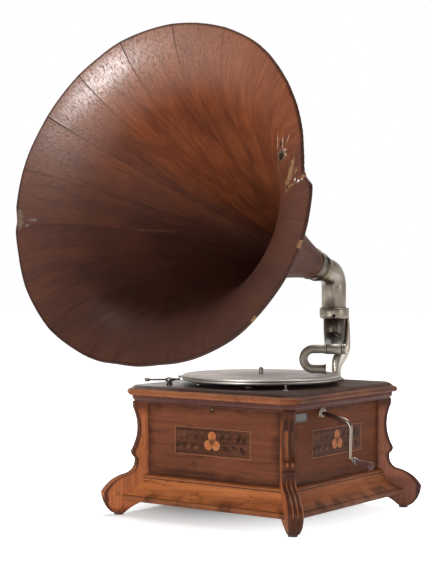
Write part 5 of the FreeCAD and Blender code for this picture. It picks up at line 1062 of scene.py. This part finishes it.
# painted daylight where the bell is torn through
colour = mixed(ranged(mask["through"], 0.4, 0.6), colour, (0.90, 0.87, 0.83, 1))
satin = plus(plus(grown["Roughness"], 0.04), times(torn, 0.4))
crackle = plus(grown["Height"], stretched_noise(fibres, (240, 520, 520), 4.0))
polished = times(mask["gloss"], math("SUBTRACT", 1.0, math("MAXIMUM", mask["outside"], open_seam)))
plug(tree, surface, {"Base Color": colour, "Roughness": plus(satin, times(mask["outside"], 0.2)),
                     "Normal": bump(crackle, 0.16, 0.0005), "Specular IOR Level": 0.22,
                     "Coat Weight": times(polished, ranged(crazing, 0.43, 0.60, 1.0, 0.12)), "Coat Roughness": 0.29,
                     "Coat IOR": 1.8})
fit("stave_bell", bell, horn_wood, "horn_assembly", "horn_wood", "horn", closed=True, grain=grain, extra=masks)

# Tone arm: a tapered nickel tube that hangs from the collar and turns towards the record, with a cross sleeve soldered
# on its end.
ARM_HEAD, ELBOW, SIDEWAYS = compass(-58.4), BRACKET + (0, 0, 264.0), np.array([0.852, 0.524, 0])
ARM_TOP, ARM_END, ARM_BEND = BRACKET + (0, 0, 306.0), ELBOW + ARM_HEAD * 141, 24
hang = rounded([ARM_TOP, ELBOW, ELBOW + ARM_HEAD * 60], ARM_BEND, 18)
hang = np.concatenate([hang[:-1], ELBOW + np.linspace(30, 139, 24)[:, None] * ARM_HEAD])
passed = np.concatenate([[0], np.cumsum(np.linalg.norm(np.diff(hang, axis=0), axis=1))])
girth = np.interp(passed, [0, 16, passed[-1]], [17, 17, 7.6])
arm_nickel = metal("arm_nickel", (0.16, 0.134, 0.108), (0.088, 0.070, 0.055))
fit("arm_tube", drawn(hang, girth, np.cross(UP, ARM_HEAD), 48), arm_nickel, "arm_assembly", "nickel", "tone_arm")
half_sleeve = np.array([(10.8, 8.1), (11.3, 7.2), (12.3, 7.2), (12.8, 8.1), (14.0, 8.1), (14.5, 7.7), (14.5, 6.9)])
goose_nickel = metal("gooseneck_nickel", (0.40, 0.365, 0.315), (0.27, 0.235, 0.19), rough=0.2)
lathe("arm_cross_sleeve", np.concatenate([half_sleeve[::-1] * (-1, 1), half_sleeve]), ARM_END, SIDEWAYS, goose_nickel,
      "arm_assembly", "nickel", "arm_sleeve")

# Gooseneck: a nickelled tube bent back on itself that rocks in the sleeve, held by a keeper, and ends in the flange
# for the soundbox. It is left bare.
BEND_START, LEG_END, DROP, TUBE_RADIUS = -31.4, -12.6, 31.0, 6.75
LOW_END = ARM_END - (0, 0, DROP)
swing = np.linspace(0, np.pi, 30)[:, None]
bent = ARM_END + (BEND_START - np.sin(swing) * DROP / 2) * SIDEWAYS + (np.cos(swing) - 1) * np.array([0, 0, DROP / 2])
neck = np.concatenate([ARM_END + np.linspace(16, BEND_START + 2, 12)[:, None] * SIDEWAYS, bent,
                       LOW_END + np.linspace(BEND_START + 2, LEG_END, 8)[:, None] * SIDEWAYS])
fit("gooseneck_pipe", drawn(neck, TUBE_RADIUS, np.cross(UP, SIDEWAYS), 32), goose_nickel, "gooseneck_assembly",
    "nickel", "gooseneck")
flange = [(-14.4, 0), (-14.4, 6.7), (-14.2, 8.0), (-13.8, 8.5), (-13.2, 8.7), (-12.6, 8.6), (-12.1, 8.2), (-12.0, 7.2),
          (-12.4, 6.2), (-12.6, 5.6), (-14.2, 5.4), (-14.3, 0)]
lathe("gooseneck_flange", flange, LOW_END, SIDEWAYS, dark_steel, "gooseneck_assembly", "nickel")
keeper = [(14.7, 0), (14.7, 7.5), (15.2, 8.1), (17.8, 8.1), (18.4, 7.6), (18.5, 6.8), (18.5, 0)]
lathe("gooseneck_keeper", keeper, ARM_END, SIDEWAYS, goose_nickel, "gooseneck_assembly", "nickel")

cad_box = [list(map(float, corner)) for corner in cad_box]
